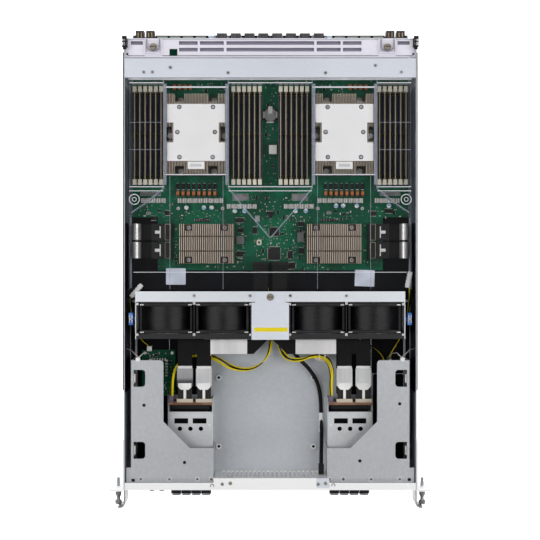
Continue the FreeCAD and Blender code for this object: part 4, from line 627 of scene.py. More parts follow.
def strandPoints(route, index):  # one lead's way through the bundle, twisted, and loose between its ends
    points = []
    for step, (x, y, z) in enumerate(route):
        turn = math.tau * index / len(strand["colours"]) + strand["twist"] * step
        if strand["held"] <= step < len(route) - strand["held"]:
            away = strand["spread"] * strand["loose"]
            aside = away * math.cos(turn) * strand["slant"]
            points.append((x + aside, y + aside, z + away * math.sin(turn)))
        else:
            points.append((x + strand["spread"] * math.cos(turn), y, z + strand["spread"] * math.sin(turn)))
    return points


def layLeads():
    for name, route in leads.items():
        for index, colour in enumerate(strand["colours"]):
            points = strandPoints(route, index)
            made = layCord(f"{name}{index + 1}", points, strand["radius"], colour)
            if name == "leftLead" and index == 0:
                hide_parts("power_leads")


laySignalCable()
layLeads()
print("cables laid")


def inset(points, gap):  # an outline drawn anticlockwise, moved inward
    moved = []
    for before, here, after in zip(points[-1:] + points[:-1], points, points[1:] + points[:1]):
        a = Vector((here[0] - before[0], here[1] - before[1])).normalized()
        b = Vector((after[0] - here[0], after[1] - here[1])).normalized()
        across = Vector((-a.y - b.y, a.x + b.x)) * gap / max(0.3, 1 + a.dot(b))
        moved.append((here[0] + across.x, here[1] + across.y))
    return moved


def about(middle, half):
    return (middle - half, middle + half)


def mirrored(side, low, high, middle=0.0):  # a span on the left (-1) or right (1) of a middle
    return sorted((middle + side * low, middle + side * high))


def spread(count, pitch):  # places in a row, counted from its middle
    return [(index - (count - 1) / 2) * pitch for index in range(count)]


def oblong(x, y):
    return [(x[0], y[0]), (x[1], y[0]), (x[1], y[1]), (x[0], y[1])]


def arc(x, y, radius, start, sweep, steps):
    turns = [math.radians(start + sweep * k / steps) for k in range(steps + 1)]
    return [(x + radius * math.cos(turn), y + radius * math.sin(turn)) for turn in turns]


def rounded(x, y, radius, steps=4):  # an oblong with round corners
    (left, right), (low, high) = x, y
    corners = ((right - radius, low + radius, -90), (right - radius, high - radius, 0),
               (left + radius, high - radius, 90), (left + radius, low + radius, 180))
    return [point for cx, cy, start in corners for point in arc(cx, cy, radius, start, 90, steps)]


def turnedBy(points, x, y, degrees):  # an outline moved to a place and turned there
    c, s = math.cos(math.radians(degrees)), math.sin(math.radians(degrees))
    return [(x + u * c - v * s, y + u * s + v * c) for u, v in points]


placing = {  # where a point of an outline lies when it is drawn across an axis
    "x": lambda u, v, at: (at, u, v),
    "y": lambda u, v, at: (u, at, v),
    "z": lambda u, v, at: (u, v, at),
}


class Shaper:  # gathers the solids of one piece, in millimetres; paint picks one of the piece's finishes
    def __init__(self):
        self.mesh = bmesh.new()

    def shell(self, rings, paint=0, closed=False):  # closed joins the last ring to the first, with no caps
        rows = [[self.mesh.verts.new(Vector(point) / 1000) for point in ring] for ring in rings]
        faces = [] if closed else [self.mesh.faces.new(rows[0][::-1]), self.mesh.faces.new(rows[-1])]
        for low, high in zip(rows, rows[1:] + (rows[:1] if closed else [])):
            for i in range(len(low)):
                j = (i + 1) % len(low)
                faces.append(self.mesh.faces.new((low[i], low[j], high[j], high[i])))
        for face in faces:
            face.material_index = paint

    def prism(self, points, low, high, soft=0.2, axis="z", paint=0):  # the far edge is chamfered
        step = soft if high > low else -soft
        turn = sum(a[0] * b[1] - a[1] * b[0] for a, b in zip(points, points[1:] + points[:1]))
        points = points if turn > 0 else points[::-1]  # inset works on anticlockwise outlines
        rings = [(points, low), (points, high - step), (inset(points, soft), high)]
        self.shell([[placing[axis](u, v, at) for u, v in ring] for ring, at in rings], paint)

    def block(self, x, y, z, soft=0.2, paint=0):
        self.prism(oblong(x, y), z[0], z[1], soft, paint=paint)

    def pair(self, x, y, z, soft=0.2, paint=0):  # a block on the right, and its mirror image on the left
        for side in (-1, 1):
            self.block(mirrored(side, *x), y, z, soft, paint)

    def lathe(self, profile, centre, base=0.0, axis="z", sides=24, teeth=0.0, closed=False, paint=0):
        rings = []  # the profile has radii and how far along the axis they are from the base
        for radius, rise in profile:
            ring = []
            for k in range(sides):
                r, turn = radius - teeth * (k % 2), math.tau * k / sides
                u, v = centre[0] + r * math.cos(turn), centre[1] + r * math.sin(turn)
                ring.append(placing[axis](u, v, base + rise))
            rings.append(ring)
        self.shell(rings, paint, closed)

    def tube(self, points, radius, paint=0, sides=8):  # a bent wire of round section
        points = [Vector(point) for point in points]
        rings, up = [], Vector((0.3, 0.2, 1))
        for i, here in enumerate(points):
            along = (points[min(i + 1, len(points) - 1)] - points[max(i - 1, 0)]).normalized()
            u = along.cross(up).normalized() * radius
            v = along.cross(u).normalized() * radius
            turns = [math.tau * k / sides for k in range(sides)]
            rings.append([here + u * math.cos(turn) + v * math.sin(turn) for turn in turns])
        self.shell(rings, paint)

    def piece(self, name, worn, body, slot, smooth=False):
        bmesh.ops.recalc_face_normals(self.mesh, faces=self.mesh.faces)
        mesh = bpy.data.meshes.new(name)
        self.mesh.to_mesh(mesh)
        self.mesh.free()
        for finish in worn:
            mesh.materials.append(finishes[finish])
        if smooth:
            for face in mesh.polygons:
                face.use_smooth = True
            mesh.set_sharp_from_angle(angle=math.radians(35))
        made = bpy.data.objects.new(name, mesh)
        bpy.context.scene.collection.objects.link(made)
        return onBody(made, body)


cpu = {"x": 111.85, "y": 196.5, "plateTop": 78.0, "finTop": 76.8}  # the right heatsink's middle and heights
plateScrews = {
    "spots": ((25.4, 40), (28.3, 2.3), (25, -35.5)),
    "washer": ((3.4, -0.1), (3.4, 0.2), (2.6, 0.25), (2.6, -0.1)),
    "head": ((2.7, -0.1), (2.7, 0.4), (2.35, 0.7), (1.5, 0.7), (1.3, 0.2)),
    "driver": ((1.3, 0), (1.25, 0.3), (0.7, 0.5)),
}


def addPlateScrews():
    s, top = Shaper(), cpu["plateTop"]
    for side in (-1, 1):
        for across, along in plateScrews["spots"]:
            for way in (-1, 1):
                spot = (side * cpu["x"] + way * across, cpu["y"] + along)
                s.lathe(plateScrews["washer"], spot, top, closed=True, paint=2)
                s.lathe(plateScrews["head"], spot, top)
                s.lathe(plateScrews["driver"], spot, top, sides=6, paint=1)
    s.piece("plateScrews", ["thumb", "screw", "black"], "tray", "bright_steel", True)


finLabels = {"x": (-12.9, 12.3), "y": (-53.4, -42.2), "thick": 0.16, "margin": (4, 3.4), "panel": 0.04}


def addFinLabels():
    s, low = Shaper(), cpu["finTop"]
    top, (a, b) = low + finLabels["thick"], finLabels["margin"]
    for side in (-1, 1):
        x = [side * cpu["x"] + edge for edge in finLabels["x"]]
        y = [cpu["y"] + edge for edge in finLabels["y"]]
        s.prism(rounded(x, y, 0.8), low, top, 0.05)
        panel = rounded((x[0] + a, x[1] - a), (y[0] + b, y[1] - b), 0.6)  # plain grey amid the white
        s.prism(panel, top, top + finLabels["panel"], 0.02, paint=1)
    s.piece("finLabels", ["white", "labelGrey"], "tray", "white_plate")


memory = {"inner": 36.2, "outer": 187.5, "pitch": 8.13, "slots": 6}
memoryChips = {"half": 32, "count": 5, "step": 11.5, "width": 9.7, "z": (22.6, 41.2), "face": 1.7,
               "proud": 0.24, "bite": 0.1}


def slotRows():
    for side in (-1, 1):
        for bank in ("inner", "outer"):
            for place in spread(memory["slots"], memory["pitch"]):
                yield side * (memory[bank] + place)


def addMemoryChips():
    s, face = Shaper(), memoryChips["face"]
    for x in slotRows():
        for half in (-1, 1):
            for place in spread(memoryChips["count"], memoryChips["step"]):
                y = cpu["y"] + half * memoryChips["half"] + place
                outline = oblong(about(y, memoryChips["width"] / 2), memoryChips["z"])
                for way in (-1, 1):
                    low, high = face - memoryChips["bite"], face + memoryChips["proud"]
                    s.prism(outline, x + way * low, x + way * high, 0.12, "x")
    s.piece("memoryChips", ["navy"], "tray", "module_dark")


slotRibs = {"keys": (-64.2, 4.5, 64.2), "keyHalf": (3.1, 0.8), "keyZ": (19.2, 20.4),
            "rail": 2.9, "railHalf": (0.25, 64), "railZ": (19.4, 19.9)}


def addSlotRibs():  # bright key ribs and side rails that show along each memory socket
    s = Shaper()
    for x in slotRows():
        w, h = slotRibs["keyHalf"]
        for y in slotRibs["keys"]:
            s.block(about(x, w), about(cpu["y"] + y, h), slotRibs["keyZ"], 0.3)
        w, h = slotRibs["railHalf"]
        for way in (-1, 1):
            s.block(about(x + way * slotRibs["rail"], w), about(cpu["y"], h), slotRibs["railZ"], 0.1)
    s.piece("slotRibs", ["slotEdge"], "tray", "black_plastic")


board = {"top": 11.6, "seed": 11, "grid": 0.8, "keep": 0.75,  # the share of its room that a part keeps free
         "worn": ["ceramic", "cream", "black", "tin", "grey"]}
partKinds = {  # length, width and height, the room each needs round it, and how often it comes up
    "chip": ((1.9, 1.1, 0.9), 1.5, 52), "pair": ((3.1, 1.6, 1.3), 2.2, 30),
    "case": ((4.6, 3.6, 1.5), 3.4, 8), "coil": ((5.4, 5.4, 3.4), 4.0, 5),
    "square": ((4.2, 4.2, 1.0), 3.4, 5),
}
partShape = {"body": 0.3, "cap": 0.52, "capWide": 0.53, "legIn": 0.42,  # shares of a part's length or width
             "capProud": 0.05, "lift": 0.1, "legOut": 0.7, "legThick": 0.5,
             "coilLeg": (1, 0.35), "legs": (4, 0.22)}  # legs in a row, and half a leg's share of its room
clusters = (  # middle, size and how many small parts
    (8, 38, 66, 76, 210), (-46, 38, 18, 72, 60), (54, 38, 18, 72, 60), (0, 92, 110, 26, 60),
    (-176, 84, 60, 24, 46), (178, 84, 58, 24, 40), (-110, 76, 70, 16, 34), (112, 76, 70, 16, 34),
    (0, 258, 20, 34, 16), (0, 205, 22, 40, 18), (0, 150, 22, 60, 20), (-112, 274, 84, 14, 40),
    (112, 274, 84, 14, 40), (-172, 292, 60, 40, 30), (172, 292, 60, 40, 30), (0, 296, 130, 34, 50),
    (60, -4, 60, 10, 24), (-70, -4, 60, 9, 16), (150, 30, 8, 60, 20), (-148, 30, 6, 60, 16),
)
standing = {  # what is on the board already: middle and half size, on both sides or once, and the cans
    "pairs": ((cpu["x"], cpu["y"], 48.5, 62.5), (memory["inner"], cpu["y"], 24.5, 83),
              (memory["outer"], cpu["y"], 24.5, 83), (98, 30.8, 43.5, 31.5), (14.5, -3, 13.5, 7),
              (168, 35, 17, 28), (74, 86, 5, 5), (143, 86, 5, 5), (108.4, 98, 37, 5.5), (44, 89, 25, 5.5),
              (181, 98, 21, 5.5), (114.7, 109, 33, 5.5), (136, 274, 17, 5.5), (193, 338, 20, 24),
              (192, 35, 8, 30)),
    "single": ((6, 16, 10.5, 11), (6, 50, 8.5, 7.5), (31, 14, 5, 7), (33, -3, 7, 6), (0, 231, 13, 11),
               (4, 177, 8, 9), (0, 338, 100, 24)),
    "cans": ((-130, 87), (-103, 87), (-91, 87), (-55, 82), (-40, 82), (39, 82), (55, 82), (102, 90),
             (113, 90), (134, 90), (184, 90)),
    "canHalf": 4.5,
}


def takenSpots():
    half = standing["canHalf"]
    taken = [(side * x, y, w, h) for x, y, w, h in standing["pairs"] for side in (-1, 1)]
    return taken + list(standing["single"]) + [(x, y, half, half) for x, y in standing["cans"]]


def smallPart(s, dice, x, y, kind, turn, top):
    long, wide, tall = partKinds[kind][0]
    if kind in ("chip", "pair"):  # a ceramic body between two tinned ends
        body = oblong(about(0, long * partShape["body"]), about(0, wide / 2))
        s.prism(turnedBy(body, x, y, turn), top, top + tall, 0.1, paint=dice.choice((0, 0, 1, 2)))
        for end in (-1, 1):
            span = mirrored(end, long * partShape["body"], long * partShape["cap"])
            cap = turnedBy(oblong(span, about(0, wide * partShape["capWide"])), x, y, turn)
            s.prism(cap, top, top + tall + partShape["capProud"], 0.12, paint=3)
        return
    body = turnedBy(oblong(about(0, long / 2), about(0, wide / 2)), x, y, turn)
    s.prism(body, top + partShape["lift"], top + tall, paint=4 if kind == "coil" else 2)
    legs, share = partShape["coilLeg" if kind == "coil" else "legs"]
    for row in (-1, 1):
        reach = mirrored(row, wide * partShape["legIn"], wide / 2 + partShape["legOut"])
        for at in spread(legs, long / legs):
            leg = turnedBy(oblong(about(at, long / legs * share), reach), x, y, turn)
            s.prism(leg, top, top + partShape["legThick"], 0.1, paint=3)


def addBoardParts():
    s, dice, taken, grid = Shaper(), random.Random(board["seed"]), takenSpots(), board["grid"]
    odds = [often for _, _, often in partKinds.values()]
    for cx, cy, width, length, count in clusters:
        for _ in range(count):
            kind = dice.choices(list(partKinds), odds)[0]
            x, y = cx + (dice.random() - 0.5) * width, cy + (dice.random() - 0.5) * length
            x, y = round(x / grid) * grid, round(y / grid) * grid
            room = partKinds[kind][1]
            if any(abs(x - a) < w + room and abs(y - b) < h + room for a, b, w, h in taken):
                continue
            taken.append((x, y, room * board["keep"], room * board["keep"]))
            smallPart(s, dice, x, y, kind, dice.choice((0, 90)), board["top"])
    s.piece("boardSmallParts", board["worn"], "tray", "black_plastic")


pins = {"columns": 10, "step": 2.54, "rows": ((-106, 68), (91, 68)), "body": (2.6, 0.9), "half": 0.45,
        "tall": 2.4}


def addPinRows():
    s, top = Shaper(), board["top"]
    deep, seat = pins["body"]
    for cx, cy in pins["rows"]:
        s.block(about(cx, pins["columns"] * pins["step"] / 2), about(cy, deep), (top, top + seat))
        for place in spread(pins["columns"], pins["step"]):
            for row in spread(2, pins["step"]):
                x, y = about(cx + place, pins["half"]), about(cy + row, pins["half"])
                s.block(x, y, (top + seat, top + pins["tall"]), paint=1)
    s.piece("pinRows", ["black", "tin"], "tray", "bright_steel")


chipTrim = {"spots": ((6, 16, 19, 20), (6, 50, 15, 13), (31, 14, 8, 12), (33, -3, 12, 10)),  # middle, size
            "bite": 0.1, "pinLong": 1.3, "pinWide": 0.5, "pinStep": 1.0, "pinThick": 0.45, "margin": 2,
            "dimple": ((0.7, 1.9), (0.7, 2.04), (0.5, 2.06))}


def addChipTrim():  # gull-wing leads round the controllers and a moulded pin-one dimple
    s, top, edge = Shaper(), board["top"], chipTrim["margin"]
    for cx, cy, width, length in chipTrim["spots"]:
        for side in (-1, 1):
            for along, across, flip in ((width, length, False), (length, width, True)):
                reach = mirrored(side, across / 2 - chipTrim["bite"], across / 2 + chipTrim["pinLong"])
                for place in spread(int((along - edge) / chipTrim["pinStep"]), chipTrim["pinStep"]):
                    wide = about(place, chipTrim["pinWide"] / 2)
                    x, y = (reach, wide) if flip else (wide, reach)
                    z = (top, top + chipTrim["pinThick"])
                    s.block((cx + x[0], cx + x[1]), (cy + y[0], cy + y[1]), z, 0.1)
        corner = (cx - width / 2 + edge, cy + length / 2 - edge)
        s.lathe(chipTrim["dimple"], corner, top, sides=12, paint=1)
    s.piece("controllerLeads", ["tin", "grey"], "tray", "bright_steel")


cellClip = {"arm": ((-3.4, 3.4), (233, 244), (17.2, 17.7)), "rim": ((8.6, 11.2), (226, 236), (14, 17.9)),
            "stop": ((-6, 6), (218.6, 220.8), (11.6, 17))}


def addCellClip():  # the spring arm and rim that hold the coin cell
    s = Shaper()
    x, y, z = cellClip["arm"]
    s.prism(rounded(x, y, 1.2), *z, 0.15)
    s.pair(*cellClip["rim"], 0.4)
    s.block(*cellClip["stop"], 0.4)
    s.piece("cellClip", ["tin"], "tray", "cell_steel")


addPlateScrews()
addFinLabels()
addMemoryChips()
addSlotRibs()
print("heatsink and memory detail added")
addBoardParts()
addPinRows()
addChipTrim()
addCellClip()
print("board parts placed")


shroudLines = {  # ridges of the clear sheet: one end, other end and width, on the right half
    "top": 83.5, "bite": 0.05, "rise": 0.45, "edge": 0.22,
    # the beads are painted highlights along the sheet's bends
    "highlightBead": (((63.6, 134.3), (160, 134.3), 1.7), ((63.6, 265.9), (160, 265.9), 2.4),
             ((161, 116), (212, 116), 1.3), ((161, 109.8), (212, 109.8), 1.2),
             ((0.1, 116), (62.6, 116), 1.3), ((0.1, 109.8), (62.6, 109.8), 1.2),
             ((161, 272.5), (212, 272.5), 1.5), ((0.1, 272.5), (62.6, 272.5), 1.5),
             ((0.1, -12.6), (206, -12.6), 0.9)),
    "crease": (((71, 132), (71, -38), 0.7), ((151, 132), (151, -38), 0.7),
               ((164, 212.9), (212, 212.9), 0.8), ((164, 171.9), (212, 171.9), 0.8),
               ((63.1, 114), (63.1, 276), 1.5), ((160.5, 114), (160.5, 276), 1.5),
               ((62.6, 114), (41.5, 87), 1.4), ((41.5, 87), (0.6, 39.6), 1.4),
               ((160.5, 114), (187, 92), 1.4), ((187, 92), (209.5, 77), 1.4),
               ((158.2, 119), (158.2, 271), 4.2), ((65.6, 119), (65.6, 271), 4.2)),
}


def addShroudLines():
    s, worn, top = Shaper(), ["highlightBead", "crease"], shroudLines["top"]
    for paint, finish in enumerate(worn):
        low, high = top - shroudLines["bite"], top + shroudLines["rise"]
        for a, b, width in shroudLines[finish]:
            for side in (-1, 1):
                start, end = Vector((side * a[0], a[1])), Vector((side * b[0], b[1]))
                across = (end - start).normalized().orthogonal() * width / 2
                corners = (start + across, start - across, end - across, end + across)
                outline = [tuple(corner) for corner in corners]
                s.prism(outline, low, high, width * shroudLines["edge"], paint=paint)
    s.piece("shroudRidges", worn, "shroud", "clear_sheet")


shroudBosses = {"x": 204.4, "y": 97, "post": ((3.4, -0.05), (3.4, 0.8), (2.6, 0.8), (2.6, -0.05)),
                "rim": ((8.2, -0.05), (8.2, 1.2), (7.8, 1.6), (7.3, 1.6), (6.9, 1.2), (6.9, -0.05))}


def addShroudBosses():  # the round lift points moulded into both edges of the shroud, pale as a painted highlight
    s, top = Shaper(), shroudLines["top"]
    for side in (-1, 1):
        spot = (side * shroudBosses["x"], shroudBosses["y"])
        s.lathe(shroudBosses["rim"], spot, top, sides=40, closed=True)
        s.lathe(shroudBosses["post"], spot, top, closed=True)
    s.piece("shroudBosses", ["highlightBead"], "shroud", "clear_sheet", True)


shroudLabels = {"spots": ((-142, -19, 0), (142, -21.6, -2)),  # place and tilt
                "half": (14.8, 12.3), "thick": 0.14}


def addShroudLabels():  # a plain sticker at each side
    s, top, (w, h) = Shaper(), shroudLines["top"], shroudLabels["half"]
    for x, y, tilt in shroudLabels["spots"]:
        sticker = rounded(about(0, w), about(0, h), 1.2)
        s.prism(turnedBy(sticker, x, y, tilt), top, top + shroudLabels["thick"], 0.05)
    s.piece("shroudLabels", ["lilac"], "shroud", "clear_sheet")


linings = {"wall": 218.8, "thick": 0.4, "y": (-194, 268), "split": 62, "z": (3, 84), "floor": 1.2,
           "seam": (-204, -171), "gap": 1,  # where the bay's film meets the cage's, left and right
           "cage": ((158, 207.6), -114.5), "bay": ((160.5, 207.6), -315),
           "sheets": (((103, 157), (-204, -114.5), 3, 0.3), ((175.6, 216.4), (54, 74), 2, 0.4),
                      ((211, 217.5), (-262, -60), 2, 0.3))}  # across, along, corner and thickness


def addShadeLinings():  # black film on the side walls as painted shade of the gap beside covers and memory, slate towards the rear; on the floor at both sides of the fan cage black film, partly real and partly painted shade
    s, (low, high), floor = Shaper(), linings["y"], linings["floor"]
    (cageX, cageRear), (bayX, bayFront) = linings["cage"], linings["bay"]
    for side, seam in zip((-1, 1), linings["seam"]):
        wall = (side * linings["wall"], side * (linings["wall"] - linings["thick"]))
        s.prism(rounded((linings["split"], high), linings["z"], 4), *wall, 0.1, "x", 1)
        s.prism(rounded((low, linings["split"]), linings["z"], 4), *wall, 0.1, "x")
        atSeam = ((cageX, (seam, cageRear), 3, 0.3), (bayX, (bayFront, seam - linings["gap"]), 3, 0.3))
        for x, y, corner, thick in atSeam + linings["sheets"]:
            s.prism(rounded(mirrored(side, *x), y, corner), floor, floor + thick, 0.1)
    s.piece("sideShadeLinings", ["film", "slateShade"], "tray", "black_film")


sideCard = {"x": (-200, -148), "y": (-204, -134), "z": (4.4, 6.0), "inset": 5, "post": 2.4,
            "screw": ((2.6, 0), (2.6, 0.7), (2.0, 1.1)), "plug": ((-192, -184), (-136, -128)), "plugTall": 6}
cardContacts = {"count": 6, "tall": 5, "rowX": (-185, -183), "rowY": (-150.6, -146.4), "rowStep": 4.1,
                "columnX": (-163.4, -159.4), "columnY": (-152.2, -149.4), "columnStep": 4.6}
cardParts = {"seed": 5, "tries": 150, "x": (-197, -153), "y": (-201, -137), "odds": (5, 3, 1, 1),
             "kinds": ("chip", "pair", "case", "square"), "clear": ((-184, -156), (-183, -143)),
             "apart": 4, "fromScrew": 6}


def addSideCard():  # a small board at the left, half under the bay's cover
    s, (x0, x1), (y0, y1), (low, top) = Shaper(), sideCard["x"], sideCard["y"], sideCard["z"]
    s.prism(rounded((x0, x1), (y0, y1), 2), low, top, 0.15)
    s.piece("sideCard", ["board"], "tray", "board_green")
    s, edge, post = Shaper(), sideCard["inset"], sideCard["post"]
    for x in (x0 + edge, x1 - edge):
        for y in (y0 + edge, y1 - edge):
            s.lathe([(post, linings["floor"]), (post, low)], (x, y), sides=6)
            s.lathe(sideCard["screw"], (x, y), top, sides=20)
    z = (top, top + cardContacts["tall"])
    for index in range(cardContacts["count"]):  # a row of bright contacts, and another round the corner
        x = [end + index * cardContacts["rowStep"] for end in cardContacts["rowX"]]
        s.block(x, cardContacts["rowY"], z, 0.3)
        y = [end - index * cardContacts["columnStep"] for end in cardContacts["columnY"]]
        s.block(cardContacts["columnX"], y, z, 0.3)
    s.piece("sideCardMetal", ["tin"], "tray", "bright_steel")
    s, dice, taken = Shaper(), random.Random(cardParts["seed"]), []
    (left, right), (front, rear) = cardParts["clear"]
    near, apart = cardParts["fromScrew"], cardParts["apart"]
    for _ in range(cardParts["tries"]):
        x, y = dice.uniform(*cardParts["x"]), dice.uniform(*cardParts["y"])
        kind = dice.choices(cardParts["kinds"], cardParts["odds"])[0]
        nearSide = min(abs(x - x0 - edge), abs(x - x1 + edge)) < near
        nearScrew = nearSide and min(abs(y - y0 - edge), abs(y - y1 + edge)) < near
        onContacts = left < x < right and front < y < rear
        if nearScrew or onContacts or any(abs(x - a) < apart and abs(y - b) < apart for a, b in taken):
            continue
        taken.append((x, y))
        smallPart(s, dice, x, y, kind, dice.choice((0, 90)), top)
    s.block(*sideCard["plug"], (top, top + sideCard["plugTall"]), 0.4, 3)
    s.piece("sideCardParts", board["worn"], "tray", "black_plastic")


gripLips = {"spots": (-172.5, -281), "top": 78.6, "lip": (203.2, 205.8), "lipDeep": 9, "half": 8.6,
            "end": (203.2, 208.5), "endInner": 6.2, "endDeep": 4}


def addGripLips():  # the folded lip under each finger hole, at its outer edge
    s, top, half = Shaper(), gripLips["top"], gripLips["half"]
    for y in gripLips["spots"]:
        s.pair(gripLips["lip"], about(y, half), (top - gripLips["lipDeep"], top), 0.3)
        for way in (-1, 1):
            end = mirrored(way, gripLips["endInner"], half, y)
            s.pair(gripLips["end"], end, (top - gripLips["endDeep"], top), 0.3)
    s.piece("gripLips", ["tin"], "tray", "zinc_steel")


eyelets = {"top": 80, "spots": ((-190.3, -213), (-129.3, -299.2), (195, -210.8), (135, -296.9)),
           "rim": ((3.0, -0.05), (3.0, 0.18), (2.7, 0.25), (2.55, 0.25), (2.5, -0.05)),
           "hole": ((2.5, -0.05), (2.5, 0.08), (0.5, 0.04))}


def addEyelets():
    s = Shaper()
    for spot in eyelets["spots"]:
        s.lathe(eyelets["rim"], spot, eyelets["top"], closed=True)
        # painted shade: a flat black disc for the dark opening of each eyelet
        s.lathe(eyelets["hole"], spot, eyelets["top"], paint=1)
    s.piece("lidEyelets", ["lid", "black"], "tray", "zinc_steel", True)


lidCatches = {"x": 199.5, "y": -142.6, "half": 3.4, "deep": (-4.6, 1.6), "z": (74, 81), "wire": 0.65,
              "bends": (((-2, 1, 77), (6, 7, 73), (11, 12, 69), (18.9, 14, 66)),
                        ((-1, 1, 76), (-8, 8, 72), (-15, 7, 66), (-16, 2, 58), (-16, -3.4, 50))),
              "post": ((14.6, 17.4), (-6, -2.7), (1.2, 51))}


def addLidCatches():  # a white catch on each cover's rear edge, with its bent wire spring
    s, y, (front, rear) = Shaper(), lidCatches["y"], lidCatches["deep"]
    for side in (-1, 1):
        x = side * lidCatches["x"]
        s.prism(rounded(about(x, lidCatches["half"]), (y + front, y + rear), 1.4), *lidCatches["z"], 0.5)
        for bends in lidCatches["bends"]:
            s.tube([(x + side * u, y + v, z) for u, v, z in bends], lidCatches["wire"], 1)
        across, (low, high), z = lidCatches["post"]
        s.block(mirrored(-side, *across, x), (y + low, y + high), z, 0.3, 1)
    s.piece("lidCatches", ["white", "tin"], "tray", "tab_white", True)


fans = {"first": 72.2, "pitch": 84.8, "z": 42.4}
fanTrim = {"rail": ((36.0, 39.7), (-99.6, -63.8), (74, 82.1), 0.5),
           "grip": ((37.5, 38.0), (-97, -66), (82.1, 82.4), 0.1),
           "flanges": (-102.1, -61.3), "flangeHalf": (34, 0.9), "flangeZ": (82.4, 82.75),
           "hoops": 7, "firstHoop": -96, "hoopStep": 5.2,
           "hoop": ((39.5, -0.4), (39.95, -0.3), (39.95, 0.3), (39.5, 0.4)),
           "catches": ((-103.9, -101.9), (-62.6, -60.6)), "catchX": (33.5, 39.2), "catchZ": (82.4, 83.0)}
hubCap = {"y": -95.2, "cap": ((13.4, 0), (13.4, -0.5), (12.9, -0.7), (9.6, -0.7), (9.3, -0.2)),
          "sticker": ((9.2, 0), (9.2, -0.3), (8.8, -0.35), (2.6, -0.35), (2.2, -0.1))}


def fanMiddles():  # from left to right, as the fans are numbered
    near, far = fans["first"], fans["first"] + fans["pitch"]
    return (-far, -near, near, far)


def addFanTrim():
    for number, x in enumerate(fanMiddles(), 1):
        s, hub = Shaper(), (x, fans["z"])
        for side in (-1, 1):  # side rails of the carrier, with a grip rib along each
            for paint, (across, y, z, soft) in enumerate((fanTrim["rail"], fanTrim["grip"])):
                s.block(mirrored(side, *across, x), y, z, soft, paint)
        w, h = fanTrim["flangeHalf"]
        for y in fanTrim["flanges"]:  # a lighter rib along each flange
            s.block(about(x, w), about(y, h), fanTrim["flangeZ"], 0.15, 1)
        for step in range(fanTrim["hoops"]):  # moulded ribs round the barrel
            y = fanTrim["firstHoop"] + step * fanTrim["hoopStep"]
            s.lathe(fanTrim["hoop"], hub, y, "y", 64, closed=True)
        for side in (-1, 1):  # bright catches at the corners
            for y in fanTrim["catches"]:
                s.block(mirrored(side, *fanTrim["catchX"], x), y, fanTrim["catchZ"], 0.2, 2)
        s.piece(f"fanTrim{number}", ["fan", "smoke", "tin"], f"fan_{number}", "fan_black")
        s = Shaper()
        s.lathe(hubCap["cap"], hub, hubCap["y"], "y", 48)
        s.lathe(hubCap["sticker"], hub, hubCap["y"], "y", 48, paint=1)
        s.piece(f"hubCap{number}", ["rotor", "smoke"], f"rotor_{number}", "fan_black", True)


cageTabs = {  # where the tabs are across the right half, with their spans along the tray and in height
    (112.6, 116.6): (((-61.5, -57.4), (-108.6, -104.2)), (82.7, 83.6)),
    (198.2, 202.8): (((-62.5, -58.8), (-108.2, -104.8)), (82.7, 83.5)),
    (28.5, 31.6): (((-62.5, -58.8), (-108.2, -104.8)), (82.7, 83.5)),
}


def addCageTabs():
    s = Shaper()
    for across, (rows, z) in cageTabs.items():
        for y in rows:
            s.pair(across, y, z, 0.25)
    s.piece("cageTabs", ["tin"], "tray", "zinc_steel")


coverStrip = {"x": (-24, 26), "y": (-102, -95.9), "z": (84.0, 84.12)}


def addCoverStrip():  # the yellow strip on the channel's cover
    s = Shaper()
    s.prism(rounded(coverStrip["x"], coverStrip["y"], 0.8), *coverStrip["z"], 0.04)
    s.piece("coverStrip", ["yellow"], "tray", "lead_yellow")


latchTrim = {"barZ": (80.7, 81.3), "ribZ": (80.7, 81.15),
             "bars": (((207.8, 209.0), (-88.5, -77.5)), ((211.6, 212.8), (-88.5, -77.5)),
                      ((207.8, 212.8), (-83.8, -82.2))),
             "ribs": (((207.8, 212.8), (-91.1, -89.7)), ((207.8, 212.8), (-76.3, -74.9)))}


def addLatchTrim():  # a bright spring clip in the shape of an H, and grip ribs at both its ends
    for side, word in ((-1, "left"), (1, "right")):
        s = Shaper()
        for paint, (spans, z) in enumerate((("bars", "barZ"), ("ribs", "ribZ"))):
            for x, y in latchTrim[spans]:
                s.block(mirrored(side, *x), y, latchTrim[z], 0.15, paint)
        s.piece(f"latchClip{word.title()}", ["tin", "blue"], f"{word}_latch", "latch_blue")


earKnurl = {"spot": (232.55, 43.5), "bands": ((-352.6, -344.6, 4.55), (-366.6, -361.4, 4.95)),
            "sides": 56, "teeth": 0.28, "edge": (0.35, 0.4), "wall": 1}
knurl = {"sides": 60, "teeth": 0.3}
deckKnurl = {"spot": (176.2, 326.5), "slot": (3.9, 0.5), "slotZ": (85.5, 85.66),
             "band": ((5.1, 80.2), (5.45, 80.6), (5.45, 84.0), (5.1, 84.4), (4.6, 84.4), (4.6, 80.2))}
coverKnurl = {"spot": (0, -50), "slot": (3.7, 0.5), "slotZ": (86.9, 87.05),
              "band": ((4.9, 84.4), (5.3, 84.7), (5.3, 86.0), (4.9, 86.3), (4.4, 86.3), (4.4, 84.4))}


def addKnob(name, look, side, body):  # a knurled band, and the line of the driver's slot on top as a flat black bar: painted shade
    s, (w, h) = Shaper(), look["slot"]
    x, y = side * look["spot"][0], look["spot"][1]
    s.lathe(look["band"], (x, y), closed=True, **knurl)
    s.block(about(x, w), about(y, h), look["slotZ"], 0.05, 1)
    s.piece(name, ["knob", "black"], body, "bright_steel")


